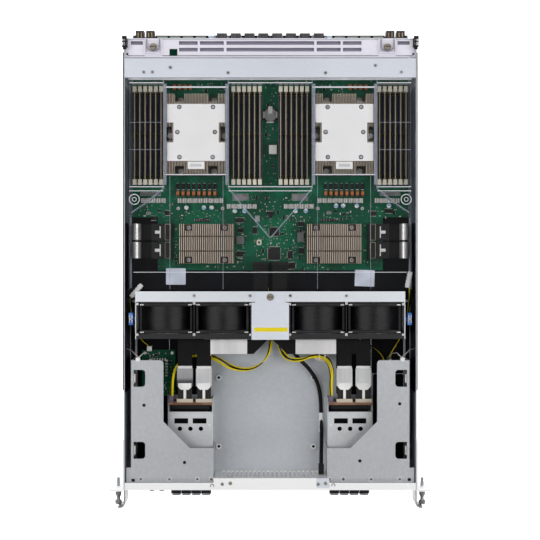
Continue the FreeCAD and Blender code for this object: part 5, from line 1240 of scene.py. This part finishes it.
def addThumbKnurls():
    for side, word in ((-1, "left"), (1, "right")):
        s, (x, z), (cut, along) = Shaper(), earKnurl["spot"], earKnurl["edge"]
        for low, high, r in earKnurl["bands"]:
            inner = r - earKnurl["wall"]
            outside = [(r - cut, low), (r, low + along), (r, high - along), (r - cut, high)]
            band = outside + [(inner, high), (inner, low)]
            s.lathe(band, (side * x, z), 0.0, "y", earKnurl["sides"], earKnurl["teeth"], True)
        s.piece(f"{word}EarKnurl", ["thumb"], f"{word}_ear_screw", "bright_steel")
        addKnob(f"{word}DeckKnurl", deckKnurl, side, f"{word}_deck_screw")
    addKnob("coverKnurl", coverKnurl, 1, "cover_screw")


recess = {"arm": 1.5, "half": 0.32, "deep": 0.05, "turn": 37}  # each cross is turned by its place
coverScrews = {"x": (195, 152, 110, 89), "y": -324.4}  # along the front edge of each bay cover
screwTops = {  # the height of the heads, and where they are
    87.0: ((-190, 288), (-177, 288), (-150, 295), (-63.5, 287), (83, 287), (158, 298), (197, 288),
           (-72, -331), (72, -331)),
    83.6: ((-114.6, -48), (-30.4, -48), (30.4, -48), (114.6, -48)),
    80.8: [(side * x, coverScrews["y"]) for side in (-1, 1) for x in coverScrews["x"]],
    12.4: [(side * x, 86) for side in (-1, 1) for x in (143, 74)],
    28.8: [(side * 98 + a * 27.7, 30.8 + b * 24.9) for side in (-1, 1) for a in (-1, 1) for b in (-1, 1)],
}


def addRecesses():  # the cross that a driver goes into, a flat black cross as painted shade
    s, a, h = Shaper(), recess["arm"], recess["half"]
    quarter = ((a, -h), (a, h), (h, h))
    cross = [point for turn in range(4) for point in turnedBy(quarter, 0, 0, 90 * turn)]
    for top, spots in screwTops.items():
        for x, y in spots:
            outline = turnedBy(cross, x, y, recess["turn"] * (x + y) % 90)
            s.prism(outline, *about(top, recess["deep"]), 0.04)
    s.piece("screwRecesses", ["black"], "tray", "bright_steel")


louvres = {"spans": ((-212, -183), (-169.5, -154), (-137.5, 169.5), (183, 212)), "high": 77.9, "low": 73.8,
           "rows": ((318.8, 327.0), (328.8, 337.0)), "gauge": 0.8}


def addLouvreBlades():  # the slanted blade behind each row of openings in the rear deck, in the deck paint darkened as painted shade
    s, high, low, gauge = Shaper(), louvres["high"], louvres["low"], louvres["gauge"]
    for across in louvres["spans"]:
        for front, rear in louvres["rows"]:
            blade = [(front, high - gauge), (rear, low - gauge), (rear, low), (front, high)]
            s.prism(blade, *across, 0.1, "x")
    s.piece("louvreBlades", ["blade"], "tray", "zinc_steel")


rearSprings = {"x": 219.95, "thick": 0.7, "y": (325, 341), "z": (58, 84), "count": 5, "first": 1.8,
               "step": 3.1, "half": 0.9,
               "finger": ((0.6, 60), (1.8, 66), (2.1, 72), (1.8, 78), (0.6, 83), (0.4, 72))}
stiffener = {"x": ((96, 177.8), (208.2, 213.6), (0.1, 88)), "y": (353.3, 354.9), "z": (7, 11.2), "step": 20,
             "foot": 4, "footY": (351.9, 353.5), "footZ": (8.6, 11)}


def addRearSprings():  # sprung contact strips outside both rear corners, and the board's rear stiffener
    s, x = Shaper(), rearSprings["x"]
    s.pair((x, x + rearSprings["thick"]), rearSprings["y"], rearSprings["z"])
    for side in (-1, 1):
        for index in range(rearSprings["count"]):
            y = rearSprings["y"][0] + rearSprings["first"] + index * rearSprings["step"]
            finger = [(side * (x + out), z) for out, z in rearSprings["finger"]]
            s.prism(finger[::side], *about(y, rearSprings["half"]), 0.12, "y", index % 2)
    for low, high in stiffener["x"]:
        s.pair((low, high), stiffener["y"], stiffener["z"], 0.3)
        for index in range(int((high - low) / stiffener["step"]) + 1):
            foot = low + stiffener["step"] * index
            s.pair((foot, foot + stiffener["foot"]), stiffener["footY"], stiffener["footZ"])
    s.piece("rearSprings", ["black", "tin"], "tray", "black_plastic")


powerBlades = {"x": (185, 201), "gap": 5, "top": (0.8, (349, 356), (31.5, 32.0)),
               "blade": (0.5, (352, 358.4), (16, 27))}
signalRibs = {"modules": 8, "pitch": 21.4, "ribs": 7, "step": 2.1, "half": 0.45, "y": (343, 355.6),
              "z": (26.5, 27.3)}


def addRearContacts():
    s = Shaper()
    for side in (-1, 1):
        for x in powerBlades["x"]:
            for slot in spread(2, powerBlades["gap"]):
                for half, y, z in (powerBlades["top"], powerBlades["blade"]):
                    s.block(about(side * x + slot, half), y, z)
    s.piece("powerBlades", ["brass"], "tray", "brass_post")
    s = Shaper()
    for module in spread(signalRibs["modules"], signalRibs["pitch"]):
        for rib in spread(signalRibs["ribs"], signalRibs["step"]):
            s.block(about(module + rib, signalRibs["half"]), signalRibs["y"], signalRibs["z"], 0.15)
    s.piece("signalRibs", ["grey"], "tray", "black_plastic")


sleeve = {"spot": (79.2, 4.75), "wall": ((3.2, -262), (3.5, -261.6), (3.5, -232.4), (3.2, -232))}
leadTag = {"spot": (79.5, -145, -14), "half": (10, 5), "z": (31.4, 32.4), "hooks": (75.5, 84),
           "hookHalf": 1.1, "hookY": (-147.5, -139), "hookZ": (32.2, 39.6)}


def addCableMarks():  # a white sleeve on the round cable, and a plain tag on the right leads
    s = Shaper()
    s.lathe(sleeve["wall"], sleeve["spot"], 0.0, "y", 32)
    s.piece("cableSleeve", ["white"], "tray", "tab_white", True)
    s, (w, h) = Shaper(), leadTag["half"]
    s.prism(turnedBy(rounded(about(0, w), about(0, h), 1.2), *leadTag["spot"]), *leadTag["z"])
    for x in leadTag["hooks"]:
        s.block(about(x, leadTag["hookHalf"]), leadTag["hookY"], leadTag["hookZ"], 0.5)
    s.piece("leadTag", ["cream"], "tray", "cream_plastic")


sidePlugs = {"spots": {"left": (-203.5, -41, 49), "right": (210.5, -24, 78)},  # place and turn
             "half": (12.5, 3.3), "z": (56, 64), "ribs": (-0.6, -0.2, 0.2, 0.6), "ribHalf": 1,
             "ribProud": 0.6, "ribZ": (57.5, 62.5),
             "ledge": (206, 218.4), "ledgeY": (-8, 4), "ledgeZ": (53, 56)}


def addSidePlugs():  # white wire plugs clipped to a ledge on each side wall
    (w, h), (front, rear) = sidePlugs["half"], sidePlugs["ledgeY"]
    ribY = about(0, h + sidePlugs["ribProud"])
    for word, (x, y, turn) in sidePlugs["spots"].items():
        s, side = Shaper(), -1 if x < 0 else 1
        s.prism(turnedBy(rounded(about(0, w), about(0, h), 0.8), x, y, turn), *sidePlugs["z"], 0.6)
        for share in sidePlugs["ribs"]:
            rib = oblong(about(w * share, sidePlugs["ribHalf"]), ribY)
            s.prism(turnedBy(rib, x, y, turn), *sidePlugs["ribZ"])
        s.block(mirrored(side, *sidePlugs["ledge"]), (y + front, y + rear), sidePlugs["ledgeZ"], 0.3, 1)
        s.piece(f"{word}SidePlug", ["white", "black"], "tray", "tab_white")


sideRoutes = {
    "leftSideLead": [(-211, -50, 60), (-212.5, -57, 54), (-213, -68, 38), (-212.5, -84, 18), (-209, -103, 7),
                     (-201, -119, 6.5), (-189, -127, 9)],
    "rightSideLead": [(212.6, -36, 60), (213.4, -46, 55), (213.2, -60, 40), (212.8, -80, 19), (210, -100, 7),
                      (202, -119, 4.2), (188, -140, 4.2), (180, -158, 4.2)],
    "bayLead": [(137, -112.8, 20), (142, -120, 22), (152, -125, 21), (164, -131, 16), (174, -141, 9),
                (179, -152, 4.6), (178, -163, 4.2)],
}
sideLead = {"radius": 1.0, "spread": 1.4, "aside": 0.5, "above": 0.8, "floor": 10,
            "colours": ("yellow", "cable")}


def laySideLeads():  # two leads side by side, one above the other until they reach the floor
    for name, route in sideRoutes.items():
        for index, colour in enumerate(sideLead["colours"]):
            shift = (index - 0.5) * 2 * sideLead["spread"]
            aside, above = shift * sideLead["aside"], shift * sideLead["above"]
            points = [(x + aside, y, z + (above if z > sideLead["floor"] else 0)) for x, y, z in route]
            layCord(f"{name}{index + 1}", points, sideLead["radius"], colour)


floorPlug = {"body": ((174.6, 184.6), (-168.5, -158.5), 0.8, (1.5, 8.6), 0.5),
             "cap": ((176.6, 182.6), (-167.5, -161.5), 0.6, (8.6, 9.4), 0.3)}


def addFloorPlug():  # the plug that the right side leads run into, half under the right cover
    s = Shaper()
    for x, y, corner, z, soft in floorPlug.values():
        s.prism(rounded(x, y, corner), *z, soft)
    s.piece("floorPlug", ["white"], "tray", "tab_white")


foldLoops = {"x": 206, "z": 42, "radii": (6.0, 4.9), "ends": (17, 22), "y": ((36.5, 61.5), (8.5, 33.5)),
             "steps": 12}


def addFoldLoops():  # each flat cable beside the board stands up in a foil-wrapped fold
    s, (first, last) = Shaper(), foldLoops["ends"]
    for side in (-1, 1):
        for y in foldLoops["y"]:
            outline = []
            for radius, way in zip(foldLoops["radii"], (1, -1)):  # out along the outside, back inside it
                bend = arc(foldLoops["x"], foldLoops["z"], radius, 180, -180, foldLoops["steps"])
                run = [(bend[0][0], first)] + bend + [(bend[-1][0], last)]
                outline += [(side * x, z) for x, z in run[::way]]
            s.prism(outline, *y, axis="y")
    s.piece("foldLoops", ["foil"], "tray", "cable_black", True)


sideSockets = {"x": (154.4, 163.2), "y": ((36.2, 61.8), (8.2, 33.8)), "wall": 0.9, "z": (20.5, 21.1),
               "clip": (170.5, 178.5), "clipHalf": 2.4, "clipZ": (19.4, 22.0),
               "bar": (169.6, 171.2), "barHalf": 9, "barZ": (19.4, 21.5)}


def addSideSockets():  # pale rims of the side sockets, and the latch clips on their plugs
    s, (low, high), wall = Shaper(), sideSockets["x"], sideSockets["wall"]
    for y0, y1 in sideSockets["y"]:
        rims = (((low, low + wall), (y0, y1)), ((high - wall, high), (y0, y1)),
                ((low, high), (y0, y0 + wall)), ((low, high), (y1 - wall, y1)))
        for x, y in rims:
            s.pair(x, y, sideSockets["z"], 0.15)
        middle = (y0 + y1) / 2
        for side in (-1, 1):
            clip = rounded(mirrored(side, *sideSockets["clip"]), about(middle, sideSockets["clipHalf"]), 0.8)
            s.prism(clip, *sideSockets["clipZ"], 0.3, paint=1)
        s.pair(sideSockets["bar"], about(middle, sideSockets["barHalf"]), sideSockets["barZ"], 0.2, 1)
    s.piece("sideSocketTrim", ["slotEdge", "white"], "tray", "tab_white")


coilRows = {"rows": ((76, 9, 98), (24, 6, 89), (165, 5, 98)), "pitch": 8.1,  # first coil, how many, and y
            "bars": (-1.7, 1.7), "barHalf": (0.65, 3.5), "barZ": (17.9, 18.25), "webHalf": (0.6, 3.2),
            "webZ": (11.6, 16.4)}


def addCoilFrames():  # bright lead frames over and between the inductors
    s, (w, h), (webW, webH) = Shaper(), coilRows["barHalf"], coilRows["webHalf"]
    for start, count, y in coilRows["rows"]:
        for index in range(count):
            for side in (-1, 1):
                x = side * (start + index * coilRows["pitch"])
                for across in coilRows["bars"]:
                    s.block(about(x + across, w), about(y, h), coilRows["barZ"], 0.1)
                if index:
                    gap = x - side * coilRows["pitch"] / 2
                    s.block(about(gap, webW), about(y, webH), coilRows["webZ"])
    s.piece("coilFrames", ["tin"], "tray", "bright_steel")


boardBlocks = (  # middle, size, height and finish of the larger parts that stand by the switch heatsinks
    (-46.6, 36.8, 12, 10.4, 5, 0), (-47.5, 67.6, 14, 6.4, 2, 1), (-47, 15, 9, 8, 2, 1),
    (-46, 52, 8, 6, 3, 1), (47, 41.2, 10.2, 13, 5, 0), (47, 62, 9, 7, 3, 1), (48, 20, 8, 9, 2, 1),
    (0, 78, 11, 6.5, 2, 1),
    (-20, 70, 8, 8, 3, 0), (-181, 70.5, 10, 6, 2, 1), (184, 82, 12, 6, 2, 1), (-160, 79, 8, 7, 2, 1),
    (160, 78, 9, 7, 2, 1), (-24, 52, 7, 10, 2, 1), (-46, 103.5, 26, 9, 3, 0), (46, 103.5, 26, 9, 3, 0),
    (-186, 108.8, 33, 4.4, 2, 0), (186, 108.8, 33, 4.4, 2, 0), (-17.3, 33.2, 7.5, 7.5, 4, 3),
    (-17.3, 33.2, 3.6, 3.6, 4.3, 1),
)
blockLeads = {"step": 1.6, "half": 0.35, "long": 1.1, "bite": 0.1, "thick": 0.6}
switches = {"first": 86, "pitch": 8.2, "count": 8, "y": (115.6, 124.4), "half": 2.5, "tall": 2.2,
            "leads": (-1.5, -0.5, 0.5, 1.5), "leadHalf": 0.25, "leadLong": 1.2, "leadThick": 0.5,
            "bite": 0.1, "tabHalf": 2.0, "tabLong": 0.9, "tabThick": 0.8}


def addBoardBlocks():
    s, top = Shaper(), board["top"]
    for x, y, width, length, height, paint in boardBlocks:
        outline = rounded(about(x, width / 2), about(y, length / 2), 0.8, 2)
        s.prism(outline, top, top + height, 0.4, paint=paint)
        count = max(2, int(width / blockLeads["step"]))
        for place in spread(count, width / (count + 0.5)):
            for row in (-1, 1):
                lead = mirrored(row, length / 2 - blockLeads["bite"], length / 2 + blockLeads["long"], y)
                s.block(about(x + place, blockLeads["half"]), lead, (top, top + blockLeads["thick"]), 0.1, 2)
    (low, high), bite = switches["y"], switches["bite"]
    leadY, leadZ = (high - bite, high + switches["leadLong"]), (top, top + switches["leadThick"])
    tabY, tabZ = (low - switches["tabLong"], low + bite), (top, top + switches["tabThick"])
    for side in (-1, 1):
        for index in range(switches["count"]):  # a power switch behind each orange capacitor
            x = side * (switches["first"] + index * switches["pitch"])
            s.block(about(x, switches["half"]), (low, high), (top, top + switches["tall"]), 0.3, 1)
            for lead in switches["leads"]:
                s.block(about(x + lead, switches["leadHalf"]), leadY, leadZ, 0.1, 2)
            s.block(about(x, switches["tabHalf"]), tabY, tabZ, 0.1, 2)
    s.piece("boardBlocks", ["grey", "black", "tin", "cream"], "tray", "black_plastic")


ports = {"middle": 122, "pitch": 15.3, "count": 4}
plugGrips = {"half": 6.3, "z": (15.6, 27.6), "y": (-353.4, -357), "nubHalf": 3.5, "nubZ": (19, 24),
             "nubY": -357.6, "line": (5.6, (-355.6, -354.8), (27.5, 27.8))}
usbPorts = {"x": (-183, -168), "z": 21.7, "half": (3.6, 1.5), "tongueY": (-338, -351.4), "rim": 1.2,
            "rimY": (-340, -341.6)}
portWebs = {"half": 0.5, "y": (-355.4, -346), "z": (27.4, 28.6)}


def addFrontTrim():
    s, (near, far) = Shaper(), plugGrips["y"]
    for side in (-1, 1):
        for place in spread(ports["count"], ports["pitch"]):  # a grip on each dust plug
            x = side * ports["middle"] + place
            s.prism(rounded(about(x, plugGrips["half"]), plugGrips["z"], 1.2), near, far, 0.5, "y")
            nub = rounded(about(x, plugGrips["nubHalf"]), plugGrips["nubZ"], 1)
            s.prism(nub, far, plugGrips["nubY"], 0.2, "y")
            half, y, z = plugGrips["line"]
            s.block(about(x, half), y, z, 0.1, 1)
    w, h = usbPorts["half"]
    for x in usbPorts["x"]:
        s.prism(rounded(about(x, w), about(usbPorts["z"], h), 0.6), *usbPorts["tongueY"], 0.5, "y")
        rim = rounded(about(x, w + usbPorts["rim"]), about(usbPorts["z"], h + usbPorts["rim"]), 0.8)
        s.prism(rim, *usbPorts["rimY"], 0.3, "y")
    s.piece("plugGrips", ["black", "labelGrey"], "tray", "black_plastic")
    s = Shaper()
    for side in (-1, 1):  # bright webs of the port cage between the plugs
        for place in spread(ports["count"] + 1, ports["pitch"]):
            s.block(about(side * ports["middle"] + place, portWebs["half"]), portWebs["y"], portWebs["z"])
    s.piece("portWebs", ["port"], "tray", "port_steel")


bosses = {"x": (-80.25, 67.25), "y": (-284.9, -177.6), "top": 4.2,
          "bore": ((2.08, -3.9), (2.08, -1.6), (1.68, -1.5), (0.4, -1.7)),
          "rim": ((4.4, -0.05), (4.2, 0.12), (2.7, 0.12), (2.18, -0.3))}


def addBossThreads():  # threaded bores of the four floor bosses painted black as shade, and their rims white as a painted highlight
    s = Shaper()
    for x in bosses["x"]:
        for y in bosses["y"]:
            s.lathe(bosses["bore"], (x, y), bosses["top"])
            s.lathe(bosses["rim"], (x, y), bosses["top"], closed=True, paint=1)
    s.piece("bossThreads", ["black", "white"], "tray", "zinc_steel", True)


deckRibs = {"x": 176.2, "y": 326.5, "z": 84.3, "half": 9.6, "radius": 0.9, "leg": (2, 11.6),
            "bend": (1, 0.8),  # where it starts, and how far it is pressed flat
            "spans": ((-215, -189.5), (-163, 163), (189.5, 215)),
            "seam": ((312.9, 314.2), (79.1, 79.4)), "rear": ((337.6, 338.2), (79.1, 79.6))}


def addDeckRibs():  # the pressed rib round each deck screw in a U and the rear seam, in deck paint darkened as painted shade, and a painted shadow line along the deck's front edge
    s, y, z, half = Shaper(), deckRibs["y"], deckRibs["z"], deckRibs["half"]
    (near, far), (start, squash) = deckRibs["leg"], deckRibs["bend"]
    for side in (-1, 1):
        x = side * deckRibs["x"]
        bend = [(x + u, y + start + v * squash, z) for u, v in arc(0, 0, half, 180, 180, 8)]
        legs = [[(x + way * half, y + out, z) for out in (far, near)] for way in (-1, 1)]
        s.tube(legs[0] + bend + legs[1][::-1], deckRibs["radius"])
    # painted shadow: the grey line along the deck's front edge; the rear line is a seam
    for across in deckRibs["spans"]:
        s.block(across, *deckRibs["seam"], 0.15, 1)
        s.block(across, *deckRibs["rear"], 0.15)
    s.piece("deckRibs", ["blade", "grey"], "tray", "zinc_steel", True)


wallClip = {"bars": (((215.5, 222.6), (337.8, 342.4)), ((216.6, 222.2), (333.2, 335.0)),
                     ((214.6, 222.2), (325.4, 328.2)), ((216.0, 221.4), (322.0, 325.6)),
                     ((214.2, 216.2), (324.6, 338.6)), ((222.0, 222.9), (325.6, 342.2))), "z": (86.95, 87.7),
            "legs": (((217.2, 218.75), (79.25, 87.1)), ((220.0, 221.2), (84.1, 87.1))), "legY": (326, 339.5),
            "hole": (215.4, 316.2), "holeDisc": ((1.7, 79.1), (1.7, 79.26), (0.4, 79.24))}
blanking = {"x": (139.2, 152.8), "y": (313.2, 324.8), "z": (77.5, 78.0)}
barLip = {"x": (-214, 214), "y": (277.3, 280.1), "z": (77.3, 78.2)}


def addRearCorners():  # a black clip over each wall's rear end, and what closes the deck round them
    s = Shaper()
    for x, y in wallClip["bars"]:
        s.pair(x, y, wallClip["z"])
    for x, z in wallClip["legs"]:
        s.pair(x, wallClip["legY"], z)
    # painted shade: a flat black disc for the dark hole at each deck corner
    x, y = wallClip["hole"]
    for side in (-1, 1):
        s.lathe(wallClip["holeDisc"], (side * x, y))
    s.piece("wallClips", ["black"], "tray", "black_plastic")
    s = Shaper()
    s.block(*blanking.values(), 0.1)
    s.block(*barLip.values(), 0.2, 1)
    s.piece("rearSheets", ["deck", "labelGrey"], "tray", "zinc_steel")


runners = {"x": (219.9, 221.5), "y": (-190, 318), "z": (80, 86.4), "screws": 5, "margin": 24, "screwZ": 83.2,
           "screw": ((1.7, -0.1), (1.6, 0.3), (0.6, 0.4))}


def addShadowRunners():  # a black runner along the outside of each wall, standing in for the shadow line there: painted shadow
    s, (front, rear), face = Shaper(), runners["y"], runners["x"][1]
    step = (rear - front - 2 * runners["margin"]) / (runners["screws"] - 1)
    for side in (-1, 1):
        s.prism(rounded(runners["y"], runners["z"], 2), *mirrored(side, *runners["x"]), 0.3, "x")
        screw = [(r, side * rise) for r, rise in runners["screw"]]
        for index in range(runners["screws"]):
            y = front + runners["margin"] + index * step
            s.lathe(screw, (y, runners["screwZ"]), side * face, "x", paint=1)
    s.piece("sideShadowRunners", ["black", "screw"], "tray", "black_plastic", True)


flangeTabs = {"y": (-336.5, -322), "z": (85.9, 86.7), "screwY": -329.6,
              "tabs": ((-1, (-82, -53), -60, 3), (1, (69, 89), 83, 0)),  # side, span, screw and finish
              "head": ((2.9, 86.6), (2.9, 86.8), (2.2, 87.0), (0.8, 87.0), (0.6, 86.8)),
              "ring": ((3.6, 79.95), (3.5, 80.2), (2.7, 80.2), (2.6, 79.95)),
              "stud": (93, -246), "studTop": ((1.5, 49.95), (1.5, 50.06), (0.4, 50.04))}


def addFlangeTabs():  # a tab with its screw on the front flange, and the bright rings round the cover screws
    s = Shaper()
    for side, span, screw, paint in flangeTabs["tabs"]:
        s.prism(rounded(span, flangeTabs["y"], 1.5), *flangeTabs["z"], paint=paint)
        s.lathe(flangeTabs["head"], (screw, flangeTabs["screwY"]), paint=1)
        for x in coverScrews["x"]:
            s.lathe(flangeTabs["ring"], (side * x, coverScrews["y"]), closed=True, paint=2)
        x, y = flangeTabs["stud"]
        s.lathe(flangeTabs["studTop"], (side * x, y), paint=2)
    s.piece("flangeTabs", ["bar", "knob", "white", "ear"], "tray", "zinc_steel", True)


cornerMarks = {"notches": ((-206.6, -326), (209.4, -325)), "notchHalf": (2.6, 2.2), "notchZ": (79.95, 80.12),
               "hooks": ((-87.4, -333.2), (94.8, -332.6)), "hookZ": 86.3, "hookLeg": 1.6, "radius": 2.3,
               "wire": 0.5}


def addCornerMarks():  # the notch at each cover's outer corner as a flat black patch of painted shade, and the hook beside each flange tab
    s, (w, h) = Shaper(), cornerMarks["notchHalf"]
    for x, y in cornerMarks["notches"]:
        s.prism(rounded(about(x, w), about(y, h), 1.2), *cornerMarks["notchZ"], 0.05)
    r, leg, z = cornerMarks["radius"], cornerMarks["hookLeg"], cornerMarks["hookZ"]
    for x, y in cornerMarks["hooks"]:
        outline = [(x + r, y - leg)] + arc(x, y, r, 0, 180, 8) + [(x - r, y - leg)]
        s.tube([(u, v, z) for u, v in outline], cornerMarks["wire"])
    s.piece("cornerMarks", ["black"], "tray", "black_plastic")


addShadowRunners()
addFlangeTabs()
addCornerMarks()
addFoldLoops()
addSideSockets()
addCoilFrames()
addBoardBlocks()
addFrontTrim()
addBossThreads()
addDeckRibs()
addRearCorners()
print("edges, sockets and board blocks added")
addShroudLines()
addShroudBosses()
addShroudLabels()
print("shroud detail added")
addShadeLinings()
addSideCard()
addGripLips()
addEyelets()
addLidCatches()
addFanTrim()
addCageTabs()
addCoverStrip()
addLatchTrim()
print("cage and bay detail added")
addThumbKnurls()
addRecesses()
addLouvreBlades()
addRearSprings()
addRearContacts()
addCableMarks()
addSidePlugs()
laySideLeads()
addFloorPlug()
print("fasteners and cable ends added")


studio = {"world": 0.1, "sideBox": (1.75, 0.1, 2.3), "sideSize": (1.1, 2.6), "sideWatts": 34.0,
          "endBox": (0, 2.2, 2.1), "endSize": (2.2, 0.9), "endWatts": 18.0}
paper = {"half": 8.0, "z": -0.0003, "glow": 0.8, "tones": ((0.93, 0.93, 0.93), (0.97, 0.97, 0.97))}


def softbox(name, place, size, watts):  # a soft light that looks at the middle of the tray
    lamp = bpy.data.lights.new(name, "AREA")
    lamp.shape = "RECTANGLE"
    lamp.size, lamp.size_y = size
    lamp.energy = watts
    made = bpy.data.objects.new(name, lamp)
    made.location = place
    made.rotation_euler = (-Vector(place)).to_track_quat("-Z", "Y").to_euler()
    bpy.context.scene.collection.objects.link(made)


def lightStage():
    world = bpy.data.worlds.new("studioWorld")
    world.use_nodes = True
    world.node_tree.nodes["Background"].inputs["Color"].default_value = (1, 1, 1, 1)
    world.node_tree.nodes["Background"].inputs["Strength"].default_value = studio["world"]
    bpy.context.scene.world = world
    for number, side in enumerate((-1, 1), 1):  # off the mirror line over the part, so black stays black
        x, y, z = studio["sideBox"]
        softbox(f"sideBox{number}", (side * x, y, z), studio["sideSize"], studio["sideWatts"])
        x, y, z = studio["endBox"]
        softbox(f"endBox{number}", (x, side * y, z), studio["endSize"], studio["endWatts"])


def layFloor():
    floor, span = bpy.data.meshes.new("studioFloor"), about(0, paper["half"])
    floor.from_pydata([(x, y, paper["z"]) for x, y in oblong(span, span)], [], [(0, 1, 2, 3)])
    f = Finish("floorPaper")
    glow = {"Emission Color": (1, 1, 1, 1), "Emission Strength": paper["glow"]}
    f.surface(f.mix(f.noise(300, 2) * 0.1, *paper["tones"]), 0.8, more=glow)
    floor.materials.append(f.material)
    made = bpy.data.objects.new("studioFloor", floor)
    bpy.context.scene.collection.objects.link(made)


view = {"height": 2.237, "y": 0.00275, "field": 21.36, "shiftX": -0.0005, "shiftY": -0.0148}


def placeCamera():
    lens = bpy.data.cameras.new("photoView")
    lens.sensor_fit = "HORIZONTAL"
    lens.angle = math.radians(view["field"])
    lens.shift_x, lens.shift_y = view["shiftX"], view["shiftY"]
    made = bpy.data.objects.new("photoView", lens)
    made.location = (0, view["y"], view["height"])
    bpy.context.scene.collection.objects.link(made)
    bpy.context.scene.camera = made
    bpy.context.scene.view_settings.view_transform = "Standard"


placeCamera()
lightStage()
layFloor()
print("camera and studio set")
